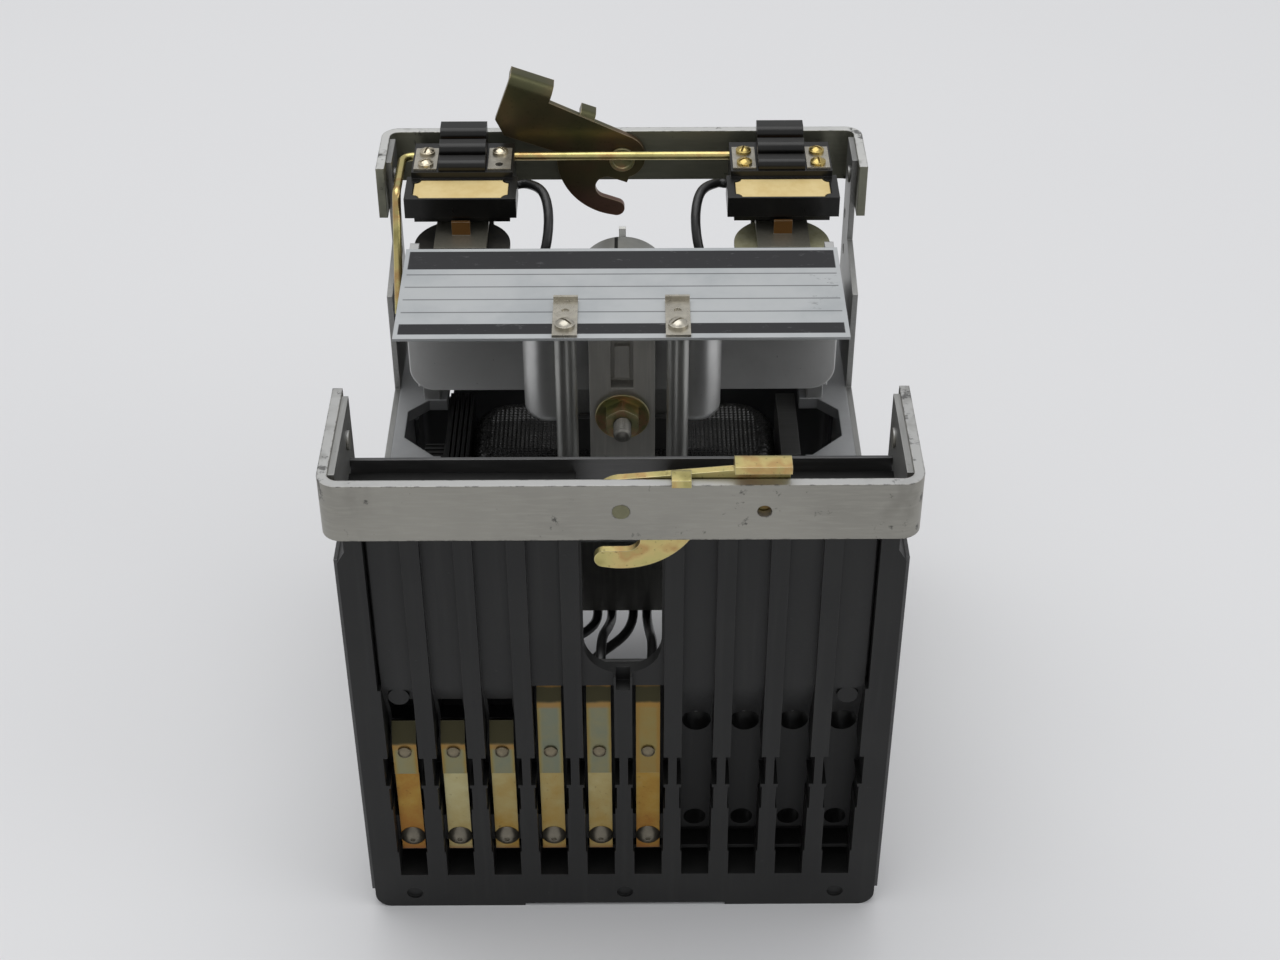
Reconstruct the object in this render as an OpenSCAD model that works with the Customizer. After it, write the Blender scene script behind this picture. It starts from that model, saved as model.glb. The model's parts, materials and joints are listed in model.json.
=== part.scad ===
// Draw-out induction-disc overcurrent relay, lying on its back.
// X runs across the relay, Y from the contact block towards its top end, Z from its back to its front.
// Depths along Y are measured from the contact block's front face.

/* [Cradle] */
// Overall width across the straps
cradle_w = 138.8; // [136:0.2:142]
// Overall length from the near strap's face to the far strap's face
cradle_len = 170.2; // [168:0.2:174]
// How far the near strap stands in front of the contact block
near_reach = 12.1; // [11.6:0.1:13]
// Height of the straps' front edge above the contact block
strap_top = 17.6; // [17:0.2:19]
// Width of a strap
strap_h = 15.8; // [14.6:0.2:16.4]
// Thickness of a strap
strap_t = 2.4; // [2:0.1:2.6]
// Outside bend radius of a strap
strap_bend = 5; // [4:0.5:7]
// Length of the near strap's arms
near_arm = 38.9; // [36:0.5:41]
// Length of the far strap's arms
far_arm = 24; // [20:0.5:26]
// Thickness of the side plates
plate_t = 1.6; // [1.2:0.1:2]
// Thickness of the folded bracket behind the contact block
sheet_t = 1; // [0.8:0.1:1.5]
// Length of the near ears, from the block's face
near_ear = 24.3; // [22:0.5:28]
// Diameter of the spare hole in the near strap
strap_hole_d = 3.4; // [3:0.1:4]
// Place of the spare hole, right of the middle
strap_hole_x = 32.8; // [30:0.2:36]

/* [Latches] */
// Height of the latch pivots above the straps' lower edge
pivot_z = 8.2; // [7.8:0.1:8.6]
// Diameter of the latch pivots
pivot_d = 4; // [3.4:0.1:4.4]
// Thickness of the latch plate
latch_t = 2; // [1.6:0.1:2.2]
// Outside radius of the latch hook
hook_r = 19; // [18:0.5:20]
// Width of the hook's slot
hook_slot = 6.8; // [5.6:0.2:7]
// Angle at which the far latch stands open
open_angle = 20; // [10:1:30]
// Radial clearance of the moving pins in their holes
pin_gap = 0.05; // [0.02:0.01:0.1]
// Side clearance of the moving plates
side_gap = 0.3; // [0.2:0.05:0.5]

/* [Contact block] */
// Width of the moulded block
block_w = 136.8; // [135:0.2:136.8]
// Height of the moulded block
block_h = 138; // [136:0.5:139]
// Depth of the moulded block
block_depth = 16; // [15:0.5:18]
// Number of contact ways
ways = 10; // [10:1:10]
// Spacing of the contact ways
pitch = 12.7; // [12.2:0.1:12.9]
// Width of a channel
channel_w = 8.1; // [7.6:0.1:8.6]
// Depth of the upper channels
channel_depth = 1.8; // [1:0.1:2.4]
// Depth of the contact slots
slot_depth = 9; // [8:0.5:11]
// Height where the upper channels end
channel_end = 81; // [80:0.5:83]
// Width of the centre slot
centre_slot_w = 19.6; // [18:0.2:20]
// Height of the centre slot's round end
centre_slot_z = 85.2; // [84.5:0.1:88]

/* [Contact fingers] */
// Width of a contact finger
finger_w = 6.3; // [5.6:0.1:7]
// Thickness of a finger leaf
finger_t = 0.6; // [0.4:0.1:0.8]
// Depth of the leaves' front below the block's face
finger_y = 4.2; // [3.8:0.1:5]
// Top of the long fingers
long_top = 78.8; // [76:0.2:80]
// Top of the short fingers
short_top = 64; // [62:0.2:66]
// Height of the finger rivets
rivet_z = 23.6; // [23:0.1:25]

/* [Casting] */
// Height of the cast flange's top face
flange_z = 92; // [91:0.5:95]
// Thickness of the flange
flange_t = 3.6; // [3:0.1:4.5]
// Height of the shaft's axis
shaft_z = 118; // [117:0.2:119]
// Depth of the housing's front wall
housing_y = 85; // [84:0.2:87]
// Width of the housing
housing_w = 116; // [113:0.5:118]
// Underside of the housing
housing_z = 114; // [113:0.2:116]
// Wall of the housing
housing_wall = 2.5; // [2:0.1:3]
// Radius of the pillars on the housing
pillar_r = 7; // [6:0.2:7.4]

/* [Nameplate] */
// Width of the nameplate
name_w = 116.4; // [110:0.5:118]
// Length of the nameplate along the relay
name_l = 43.6; // [40:0.2:45]
// Height of the nameplate's underside
name_z = 149.2; // [148.6:0.1:150]
// Thickness of the nameplate
name_t = 0.8; // [0.6:0.1:1]
// Spacing of the posts that carry the nameplate
post_pitch = 29; // [28:0.2:30]
// Diameter of the posts
post_d = 5.7; // [5:0.1:6]

/* [Rotor] */
// Radius of the induction disc
disc_r = 30; // [28:0.2:30.6]
// Thickness of the induction disc
disc_t = 1; // [0.8:0.1:1.2]
// Depth of the disc's middle plane
disc_y = 98.5; // [98:0.1:99]
// Radius of the rotor shaft
shaft_r = 1.6; // [1.4:0.05:1.8]
// Radius of the shaft's pivots
pivot_r = 0.6; // [0.5:0.02:0.7]
// Radius of the time dial
dial_r = 13.5; // [12.5:0.1:14]
// Width of the time dial's rim
dial_w = 7; // [6:0.2:7.4]

/* [Electromagnet] */
// Straight length of the coil's long sides
coil_straight = 63.4; // [58:0.2:64]
// Thickness of the coil's winding
coil_build = 10; // [9:0.1:10.4]
// Height of the coil
coil_h = 40; // [36:0.5:41]
// Top face of the coil
coil_top = 86; // [85:0.2:87]
// Depth of the core stack
core_d = 15; // [14:0.2:15.4]

/* [Target units] */
// Distance of each target unit's middle from its side plate
unit_x = 20.3; // [19.6:0.1:22]
// Width of a target head
head_w = 28.6; // [27:0.2:29]
// Height of a target head's top face
head_z = 154.5; // [154:0.1:155]
// Radius of the unit coils' end washers
bobbin_r = 13.5; // [12:0.1:13.8]
// Diameter of the reset rod
rod_d = 2.4; // [2:0.1:2.6]

/* [Leads] */
// Diameter of the insulated leads
lead_d = 3; // [2.4:0.1:3.2]

/* [Hidden] */
$fn = 48;

black = "#2b2c2c";
steel_grey = "#8c897f";
cast_grey = "#7a7c7c";
plated_gold = "#b09a55";
bright = "#c9c7bd";
cream = "#e4cf92";

eps = 0.01;
face_y = near_reach - cradle_len / 2;

// Cradle, worked out from the driving sizes
half_w = cradle_w / 2;
arm_in = half_w - strap_t;
plate_in = arm_in - plate_t;
near_in = strap_t - near_reach;
far_face = cradle_len - near_reach;
far_in = far_face - strap_t;
strap_edge = block_h + strap_top;
strap_z = strap_edge - strap_h;
pivot_at = strap_z + pivot_z;
corner_in = strap_bend - strap_t;
ear_start = near_in + corner_in + side_gap;
ear_end = far_in - corner_in - side_gap;
ear_top = strap_edge - 0.6;
plate_start = block_depth + sheet_t;
shoulder_z = strap_z - 13.8;
far_ear = cradle_len - 31.2;
far_low = far_ear - 22;
near_low = near_ear + 16;
plate_rivet_d = 3.2;
rivet_ys = [16, far_in - 12];
plate_holes = [[far_in - 8.7, pivot_at - 2], [far_in - 6.7, pivot_at - 16], [far_in - 8.7, pivot_at - 27]];
plate_hole_r = 1.7;

// Contact block
block_half = block_w / 2;
foot_r = 4.5;
foot_relief = 0.9;
relief_half = 27.5;
chamfer_z = block_h - 15;
chamfer_h = 3.4;
chamfer_w = 2;
pad_top = 31;
slot_low = 21.5;
pocket_low = 12.4;
pocket_w = 7.4;
pocket_depth = 12;
short_ways = 3;
finger_ways = 6;
upper_hole = [7.5, 61.9];
lower_hole = [5.9, 25.5];
slot_wall = 5;
slot_back = centre_slot_w / 2 + 1.2;
web_low = channel_end - 4.8;
mark_z = 76.6;
mark_r = 2.7;
wide_notch = [10.5, 47, 57];
low_notch = [9, 38, 46];
function way_x(i) = (i - (ways - 1) / 2) * pitch;

// Fingers
step_z = 47.9;
button_z = 56;
leaf_low = 18.6;
tip_run = 5.4;
tip_back = 3.2;
rivet_head_d = 6.7;
rivet_shank_d = 3;
rivet_tail = 3.5;

// Latch outline, from its pivot
latch_nose_r = 7;
latch_nose = [0.4, 0.4];
lever_end = 38.6;
lever_top = 9.8;
lever_low = -4.5;
lever_slant = 4;
tab_from = 25.7;
tab_top = 14;
tab_reach = 4.5;
fold_r = 3;
stop_from = 11.5;
stop_w = 4.5;
stop_low = strap_h - pivot_z + 0.4;
stop_reach = strap_t + side_gap + 1.5;
slot_v = -10.4;
slot_u = 1;
tip_u = -4;
near_latch_y = near_in + side_gap;
far_latch_y = far_in - side_gap;
collar_d = 7.4;
collar_t = 0.8;

// Casting
flange_y0 = 50;
flange_y1 = 146;
skirt_t = 2.8;
skirt_y0 = 54;
skirt_y1 = 142;
skirt_low = 34;
window_mid = plate_in - 14.1;
window_out = plate_in - 3.2;
window_slant = 5.6;
window_y0 = 74;
window_y1 = 124;
port_y0 = 84;
port_y1 = 111.3;
rear_wall_y = 139;
rear_wall_t = 4;
rear_wall_top = 112;
boss_r = 6.5;
housing_y1 = 108;
housing_top = name_z - 2.2;
housing_r = 7;
pillar_x = 19.6;
pillar_y = housing_y - 6;
pillar_z = housing_z - 3;
pillar_round = 3.5;
leg_y0 = 111.5;
leg_y1 = 117;
leg_top = 111;
disc_slot_half = disc_r + 2;

// Lower bearing
bar_half = 8.7;
bar_y = 68;
bar_t = 6;
bar_low = 49.4;
bar_top = 146;
screw_d = 4.8;
screw_out = 10.5;
jewel_depth = 2;
nut_af = 8.7;
nut_t = 4.2;
washer_d = 14.6;
washer_t = 1.7;
washer_flat = nut_af / sqrt(3) + 0.1;
washer_flat_t = 0.8;

// Nameplate
name_y0 = 56.4;
post_x = post_pitch / 2;
post_y = 61;
clip_w = 6.4;
clip_l = 17;
clip_t = 0.8;
clip_lip = 2;
clip_screw_r = 2.6;
clip_screw_h = 1.9;
post_bore = 2.5;
clip_hole_y = 7;
clip_hole_r = 1;

// Rotor
shaft_y0 = bar_y + bar_t + 3;
shaft_y1 = rear_wall_y - 1;
hub_r = 5;
arm_y = 121.5;
arm_t = 3;
arm_reach = 20;
arm_angle = -5;
close_angle = 45;
sleeve_r = 4;
dial_y = rear_wall_y - 2 - dial_w;
dial_pin_r = 0.8;
dial_pin_at = 11;
spring_y = 126;
spring_w = 2.5;
spring_t = 0.35;
spring_in = 3.2;
spring_sweep = 1815;

// Electromagnet
coil_in = core_d / 2 + 0.5;
coil_turn = 2;
coil_edge = 5;
coil_x = coil_straight / 2 + coil_turn + coil_build;
coil_out = coil_in + coil_build;
coil_low = coil_top - coil_h;
pole_half = 16.5;
pole_top = 97;
pole_slot_z = coil_top;
yoke_t = 6;
limb_in = window_mid - 6.3;
limb_t = 5.5;
limb_top = 88;
board_top = 88;
lug_w = 6;
short_limb_top = 72;
strap_bar_t = 3;
core_low = coil_low - yoke_t;
core_y = disc_y + 4;
shaft_hole_r = shaft_r + 0.8;
magnet_z = housing_z + housing_wall;
magnet_out = 18;
magnet_over = 10;
magnet_half = 7.5;
magnet_gap = 1.5;
magnet_h = 16;

// Target units
head_y0 = 134;
head_y1 = 151;
head_low = 142.4;
shelf_y = 122.3;
shelf_top = head_z - 1.9;
shelf_low = 146.5;
shelf_over = 1.3;
label_w = 26.4;
label_l = 9.8;
label_notch = 1.7;
label_gap = 0.3;
label_y = shelf_y + 0.9 + label_l / 2;
label_t = 0.4;
tower_half = 6.6;
louvre_end = 9.9;
bobbin_y = 122.6;
bobbin_low = 112;
bobbin_top = 138;
winding_r = bobbin_r - 1.6;
washer_end = 1.2;
core_pin_r = 4;
frame_half = 8;
frame_t = 2.7;
frame_foot = 96;
armature_z = 140.2;
armature_t = 1.6;
armature_half = 7.3;
armature_y0 = 114;
hinge_y = 134.8;
terminal_t = 0.6;
terminal_in = 7.2;
terminal_out = 13.7;
screw_ys = [137.5, 144.2];
screw_x = 10.4;
screw_head_r = 2.2;
rod_y = 147.2;
rod_z = 152.3;
rod_leg_x = -(plate_in - 2.4);
rod_bend = 3;
rod_leg_l = 19;
rod_drop = 62;
rod_foot_l = 32;

// The operating unit hangs from the far strap: its depths are measured from here
far_clear = 4.7;
unit_y = far_in - far_clear - head_y1;

// Points of the leads, chosen by hand
tail_y = block_depth + rivet_tail + side_gap;
coil_front = core_y - coil_out + unit_y - side_gap;
unit_mid = plate_in - unit_x;
leg_in = unit_mid + frame_half + side_gap;
head_side = unit_mid - head_w / 2;
block_routes = [
    [[way_x(2), tail_y, rivet_z], [way_x(2), tail_y + 3, rivet_z], [-30, 27, 38], [-25, 34, 52],
        [-16, coil_front - 38, 55], [-10.5, coil_front - 27, 50], [-7.8, coil_front - 18, 46.6],
        [-7.7, coil_front - 9, 46.4], [-7.6, coil_front - 2.5, 52], [-7.6, coil_front, 52]],
    [[way_x(3), tail_y, rivet_z], [way_x(3), tail_y + 3, rivet_z], [-18.5, 26, 36], [-15, 33, 49],
        [-8, coil_front - 40, 51.5], [-0.5, coil_front - 28, 48.5], [2.4, coil_front - 18, 46.2],
        [2.6, coil_front - 9, 46.2], [2.6, coil_front - 2.5, 52], [2.6, coil_front, 52]],
    [[way_x(4), tail_y, rivet_z], [way_x(4), tail_y + 3, rivet_z], [-6.4, 26, 40], [-6.4, 31, 57],
        [-6, coil_front - 42, 60], [-4.8, coil_front - 29, 52.5], [-3.6, coil_front - 18, 46.6],
        [-3.6, coil_front - 9, 46.4], [-3.6, coil_front - 2.5, 52], [-3.6, coil_front, 52]],
    [[way_x(5), tail_y, rivet_z], [way_x(5), tail_y + 3, rivet_z], [6.6, 26, 40], [7.4, 31, 57],
        [7.8, coil_front - 42, 58.5], [7.2, coil_front - 29, 51.5], [6.6, coil_front - 18, 46.6],
        [6.6, coil_front - 9, 46.4], [6.6, coil_front - 2.5, 52], [6.6, coil_front, 52]]
];
lead_start = head_side - side_gap;
target_routes = [for (s = [-1, 1])
    [[s * lead_start, 140, 147], [s * (lead_start - 3.5), 139.8, 147.4], [s * 22.6, 135, 147.6],
        [s * 20.8, 128, 144.5], [s * 21.4, 121.5, 138], [s * 24.6, 118, 128], [s * 26.4, 117, 118],
        [s * 25.6, 119, 108], [s * 24, 125, 101], [s * 23, 127.4, 97], [s * 23, 127.6, flange_z + side_gap]]
];
lead_sides = 8;
lead_steps = 3;

module placed() translate([0, face_y, 0]) children();

// The operating unit's place
module seated() placed() translate([0, unit_y, 0]) children();

// A block between two corners
module span(low, high) translate(low) cube(high - low);

// An outline drawn in X and Z, carried along Y
module facing(y0, y1) translate([0, y1, 0]) rotate([90, 0, 0]) linear_extrude(y1 - y0) children();

// An outline drawn in Y and Z, carried along X
module sideways(x0, x1) translate([x0, 0, 0]) rotate([90, 0, 90]) linear_extrude(x1 - x0) children();

// A round bar along Y
module bar_y_axis(r, y0, y1) translate([0, y0, 0]) rotate([-90, 0, 0]) cylinder(r = r, h = y1 - y0);

// A rectangle with round corners, about its middle
module round_rect(w, h, r) {
    square([w - 2 * r, h], center = true);
    square([w, h - 2 * r], center = true);
    for (x = [-1, 1], y = [-1, 1]) translate([x * (w / 2 - r), y * (h / 2 - r)]) circle(r);
}

// A rectangle that stands on y = 0, with its lower corners rounded
module tub(w, h, r) {
    translate([-w / 2, r]) square([w, h - r]);
    translate([-w / 2 + r, 0]) square([w - 2 * r, h]);
    for (s = [-1, 1]) translate([s * (w / 2 - r), r]) circle(r);
}

// Both sides of the relay
module both_sides() {
    children();
    mirror([1, 0, 0]) children();
}

// A slotted round-head screw with its head upwards
module round_screw(r, h, shank_r, shank_l, slot = 0.6) {
    difference() {
        union() {
            cylinder(r = r, h = h * 0.45);
            intersection() {
                translate([0, 0, h - r * 1.25]) sphere(r = r * 1.25);
                cylinder(r = r, h = h);
            }
        }
        span([-r - 1, -slot / 2, h * 0.55], [r + 1, slot / 2, h + 1]);
    }
    translate([0, 0, -shank_l]) cylinder(r = shank_r, h = shank_l + eps);
}

// Contact block

module slot_profile(deep_from, low) {
    polygon([[-1, block_h + 1], [channel_depth, block_h + 1], [channel_depth, channel_end],
        [slot_depth, deep_from], [slot_depth, low[1]], [low[0], low[1]], [low[0], slot_low], [-1, slot_low]]);
}

module way_cut(i) {
    has_finger = i < finger_ways;
    is_long = has_finger && i >= short_ways;
    deep_from = is_long ? channel_end : 64;
    low = has_finger ? [finger_y + finger_t, pad_top] : [slot_depth, pad_top];
    translate([way_x(i), 0, 0]) {
        sideways(-channel_w / 2, channel_w / 2) slot_profile(deep_from, low);
        span([-wide_notch[0] / 2, -1, wide_notch[1]], [wide_notch[0] / 2, slot_depth, wide_notch[2]]);
        span([-low_notch[0] / 2, -1, low_notch[1]], [low_notch[0] / 2, slot_depth, low_notch[2]]);
        span([-pocket_w / 2, -1, pocket_low], [pocket_w / 2, pocket_depth / 2, slot_low + eps]);
        span([-pocket_w / 2, -1, pocket_low], [pocket_w / 2, pocket_depth, pocket_low + 3.9]);
        span([-pocket_w / 2, -1, slot_low - 4], [pocket_w / 2, pocket_depth, slot_low + eps]);
        if (has_finger) {
            translate([0, 0, rivet_z]) bar_y_axis(rivet_shank_d / 2 + pin_gap, 0, block_depth + 1);
            if (!is_long)
                span([-finger_w / 2, 0, short_top - 1], [finger_w / 2, pocket_depth + 2, short_top + 9.6]);
        } else {
            translate([0, 0, upper_hole[1]]) bar_y_axis(upper_hole[0] / 2, 0, block_depth + 1);
            translate([0, 0, lower_hole[1]]) bar_y_axis(lower_hole[0] / 2, 0, block_depth + 1);
        }
    }
}

module block_outline() {
    tub(block_w, chamfer_z, foot_r);
    polygon([[-block_half, chamfer_z - 1], [block_half, chamfer_z - 1], [block_half, chamfer_z],
        [block_half - chamfer_w, chamfer_z + chamfer_h], [block_half - chamfer_w, block_h],
        [-block_half + chamfer_w, block_h], [-block_half + chamfer_w, chamfer_z + chamfer_h],
        [-block_half, chamfer_z]]);
}

module contact_block() color(black) placed() {
    slot_r = centre_slot_w / 2;
    groove_x = way_x(ways - 1) + channel_w / 2;
    difference() {
        facing(0, block_depth) block_outline();
        for (i = [0 : ways - 1]) way_cut(i);
        translate([0, 0, centre_slot_z + slot_r]) bar_y_axis(slot_r, -1, block_depth + 1);
        span([-slot_r, -1, centre_slot_z + slot_r], [slot_r, block_depth + 1, block_h + 1]);
        span([-1.8, -1, channel_end], [1.8, slot_wall - 1, centre_slot_z + 2]);
        span([-slot_back, slot_wall, channel_end + 0.5], [slot_back, block_depth + 1, block_h + 1]);
        span([-slot_back, slot_depth + 1, web_low], [slot_back, block_depth + 1, channel_end + 1]);
        span([-relief_half, -1, -1], [relief_half, block_depth + 1, foot_relief]);
        both_sides() span([groove_x - eps, -1, channel_end], [groove_x + 0.8, 5, block_h + 1]);
        for (x = [-1, 0, 1]) translate([x * (block_half - 10.8), 0, 5.3]) bar_y_axis(2.2, -1, 0.8);
    }
    for (i = [0, ways - 1]) translate([way_x(i), 0, mark_z]) bar_y_axis(mark_r, 2.6, slot_depth);
}

// Contact fingers

module leaves(from, to) for (i = [from : to])
    translate([way_x(i), 0, 0]) difference() {
        span([-finger_w / 2, finger_y, leaf_low], [finger_w / 2, finger_y + finger_t, button_z + 2]);
        translate([0, 0, rivet_z]) bar_y_axis(rivet_shank_d / 2 + pin_gap, finger_y - 1, finger_y + 1);
    }

module short_fingers() color(plated_gold) placed() leaves(0, short_ways - 1);
module long_fingers() color(plated_gold) placed() leaves(short_ways, finger_ways - 1);

module tip_profile(top) {
    bend = top - tip_run;
    polygon([[finger_y - finger_t, step_z], [finger_y, step_z], [finger_y, bend],
        [finger_y + tip_back, top], [finger_y + tip_back - finger_t, top + 0.1],
        [finger_y - finger_t, bend]]);
}

module finger_tips() color(plated_gold) placed() for (i = [0 : finger_ways - 1])
    translate([way_x(i), 0, 0])
        sideways(-finger_w / 2, finger_w / 2) tip_profile(i < short_ways ? short_top : long_top);

module finger_buttons() color(bright) placed() for (i = [0 : finger_ways - 1])
    translate([way_x(i), finger_y - finger_t, button_z]) rotate([90, 0, 0]) {
        cylinder(r = 1.8, h = 0.5);
        translate([0, 0, 0.5]) intersection() {
            translate([0, 0, -2.2]) sphere(r = 2.8);
            cylinder(r = 1.7, h = 1);
        }
    }

module finger_rivets() color(steel_grey) placed() for (i = [0 : finger_ways - 1])
    translate([way_x(i), finger_y, rivet_z]) {
        rotate([90, 0, 0]) difference() {
            intersection() {
                translate([0, 0, -2.6]) sphere(r = 4.25);
                cylinder(r = rivet_head_d / 2, h = 2);
            }
            translate([0, 0, 1.1]) cylinder(r = 0.7, h = 2);
        }
        bar_y_axis(rivet_shank_d / 2, -eps, block_depth + rivet_tail - finger_y);
    }

// Cradle sheet metal

module block_bracket() color(bright) placed() difference() {
    tails_half = way_x(ways - 1) + channel_w / 2;
    union() {
        facing(block_depth, plate_start) {
            translate([0, foot_r / 2]) tub(block_w + 2 * sheet_t, chamfer_z - foot_r / 2, foot_r);
            translate([-plate_in, chamfer_z - 1]) square([2 * plate_in, strap_z + 3.2 - chamfer_z]);
        }
        both_sides() span([block_half, 1.5, foot_r + 1], [block_half + sheet_t, plate_start, chamfer_z]);
    }
    span([-tails_half, block_depth - 1, 12], [tails_half, plate_start + 1, web_low - 6]);
    span([-slot_back, block_depth - 1, web_low], [slot_back, plate_start + 1, strap_z - 5]);
}

module side_outline() polygon([
    [ear_start, strap_z], [ear_start, ear_top], [near_ear, ear_top], [near_ear, shoulder_z],
    [near_low, shoulder_z - 4], [near_low, flange_z], [far_low, flange_z], [far_low, shoulder_z - 2],
    [far_ear, shoulder_z + 3], [far_ear, ear_top], [ear_end, ear_top], [ear_end, 0],
    [plate_start, 0], [plate_start, strap_z]]);

module side_plate() difference() {
    sideways(plate_in, arm_in) side_outline();
    for (p = plate_holes) translate([arm_in + 1, p[0], p[1]])
        rotate([0, -90, 0]) cylinder(r = plate_hole_r, h = plate_t + 2);
    for (y = rivet_ys) translate([arm_in + 1, y, pivot_at])
        rotate([0, -90, 0]) cylinder(r = plate_rivet_d / 2 + pin_gap, h = plate_t + 2);
}

module left_side_plate() color(steel_grey) placed() mirror([1, 0, 0]) side_plate();
module right_side_plate() color(steel_grey) placed() side_plate();

module strap_plan(arm) difference() {
    tub(cradle_w, arm, strap_bend);
    translate([0, strap_t]) tub(2 * arm_in, arm, corner_in);
}

module arm_holes(y) both_sides() translate([arm_in - 1, y, pivot_at]) rotate([0, 90, 0])
    cylinder(r = plate_rivet_d / 2 + pin_gap, h = strap_t + 2);

module near_strap() color(steel_grey) placed() difference() {
    translate([0, -near_reach, strap_z]) linear_extrude(strap_h) strap_plan(near_arm);
    translate([0, 0, pivot_at]) bar_y_axis(pivot_d / 2 + pin_gap, -near_reach - 1, near_in + 1);
    translate([strap_hole_x, 0, pivot_at]) bar_y_axis(strap_hole_d / 2, -near_reach - 1, near_in + 1);
    arm_holes(rivet_ys[0]);
}

module far_strap() color(steel_grey) placed() difference() {
    translate([0, far_face, strap_z]) mirror([0, 1, 0]) linear_extrude(strap_h) strap_plan(far_arm);
    translate([0, 0, pivot_at]) bar_y_axis(pivot_d / 2 + pin_gap, far_in - 1, far_face + 1);
    arm_holes(rivet_ys[1]);
}

module strap_rivets() color(steel_grey) placed() both_sides() for (y = rivet_ys)
    translate([plate_in - 0.6, y, pivot_at]) rotate([0, 90, 0]) {
        cylinder(r = plate_rivet_d / 2, h = half_w - plate_in + 0.6);
        cylinder(r = plate_rivet_d * 0.75, h = 0.6);
    }

// Latches

module lever_outline() {
    translate(latch_nose) circle(latch_nose_r);
    polygon([[latch_nose[0], latch_nose[1] + latch_nose_r], [tab_from, lever_top],
        [lever_end, lever_top], [lever_end, lever_low + lever_slant], [lever_end - lever_slant, lever_low],
        [0, lever_low]]);
}

module hook_outline() {
    tip_out = -sqrt(hook_r * hook_r - tip_u * tip_u);
    tip_in = slot_v - hook_slot / 2;
    intersection() {
        circle(hook_r);
        translate([tip_u, -2 * hook_r]) square(2 * hook_r);
    }
    translate([tip_u, (tip_in + tip_out) / 2]) circle((tip_in - tip_out) / 2);
}

module latch_outline() difference() {
    union() {
        lever_outline();
        hook_outline();
    }
    translate([slot_u, slot_v]) circle(hook_slot / 2);
    translate([-hook_r, slot_v - hook_slot / 2]) square([hook_r + slot_u, hook_slot]);
    circle(pivot_d / 2 + pin_gap);
}

// A leaf that rises from the latch plate and folds over towards -Y with a round bend
module fold(low, top, reach) {
    translate([0, low]) square([latch_t, top - fold_r - low + eps]);
    translate([latch_t - fold_r, top - fold_r]) intersection() {
        difference() {
            circle(fold_r);
            circle(fold_r - latch_t);
        }
        square(fold_r);
    }
    translate([-reach, top - latch_t]) square([reach + latch_t - fold_r + eps, latch_t]);
}

module latch() {
    facing(0, latch_t) latch_outline();
    sideways(tab_from, lever_end) fold(lever_top - 1, tab_top, tab_reach);
    sideways(stop_from, stop_from + stop_w) fold(latch_nose[1], stop_low + latch_t, stop_reach);
}

module near_latch() color(plated_gold) placed() translate([0, near_latch_y, pivot_at]) latch();
module far_latch() color(plated_gold) placed() translate([0, far_latch_y, pivot_at])
    rotate([0, open_angle, 0]) rotate([0, 0, 180]) latch();

module pivot_rivet() {
    grip = strap_t + side_gap + latch_t + side_gap;
    bar_y_axis(pivot_d / 2, 0, grip + eps);
    difference() {
        bar_y_axis(collar_d / 2, grip, grip + collar_t);
        bar_y_axis(collar_d / 2 - 1, grip + collar_t / 2, grip + 2 * collar_t);
    }
}

module near_pivot() color(bright) placed() translate([0, -near_reach, pivot_at]) pivot_rivet();
module far_pivot() color(bright) placed() translate([0, far_face, pivot_at]) mirror([0, 1, 0]) pivot_rivet();

// Casting and housing

module flange_window() {
    translate([-window_mid, window_y0]) square([2 * window_mid, window_y1 - window_y0]);
    for (s = [-1, 1]) polygon([[s * (window_mid - 1), port_y1], [s * (window_out - window_slant), port_y1],
        [s * window_out, port_y1 - window_slant], [s * window_out, port_y0 + 1.6 * window_slant],
        [s * (window_out - 1.6 * window_slant), port_y0], [s * (window_mid - 1), port_y0]]);
}

module cast_frame() color(cast_grey) seated() difference() {
    union() {
        translate([0, 0, flange_z - flange_t]) linear_extrude(flange_t) difference() {
            translate([-plate_in, flange_y0]) square([2 * plate_in, flange_y1 - flange_y0]);
            flange_window();
            translate([-bar_half, bar_y]) square([2 * bar_half, window_y0 - bar_y + 1]);
        }
        both_sides()
            span([plate_in - skirt_t, skirt_y0, skirt_low], [plate_in, skirt_y1, flange_z - flange_t + eps]);
        facing(rear_wall_y, rear_wall_y + rear_wall_t) {
            translate([-plate_in + skirt_t, flange_z - eps])
                square([2 * (plate_in - skirt_t), rear_wall_top - flange_z]);
            translate([-boss_r, rear_wall_top - 1]) square([2 * boss_r, shaft_z - rear_wall_top + 1]);
            translate([0, shaft_z]) circle(boss_r);
        }
    }
    translate([0, 0, shaft_z]) bar_y_axis(sleeve_r, rear_wall_y - 1, rear_wall_y + rear_wall_t + 1);
    both_sides() translate([post_x, post_y, flange_z - flange_t - 1]) cylinder(r = 1.5, h = flange_t + 2);
}

// A pillar with its lower end rounded
module pillar(h) {
    translate([0, 0, pillar_round]) cylinder(r = pillar_r, h = h - pillar_round);
    cylinder(r = pillar_r - pillar_round, h = pillar_round + eps);
    translate([0, 0, pillar_round]) rotate_extrude() intersection() {
        translate([pillar_r - pillar_round, 0]) circle(pillar_round);
        translate([pillar_r - pillar_round, -pillar_round]) square([pillar_round, pillar_round + eps]);
    }
}

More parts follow.
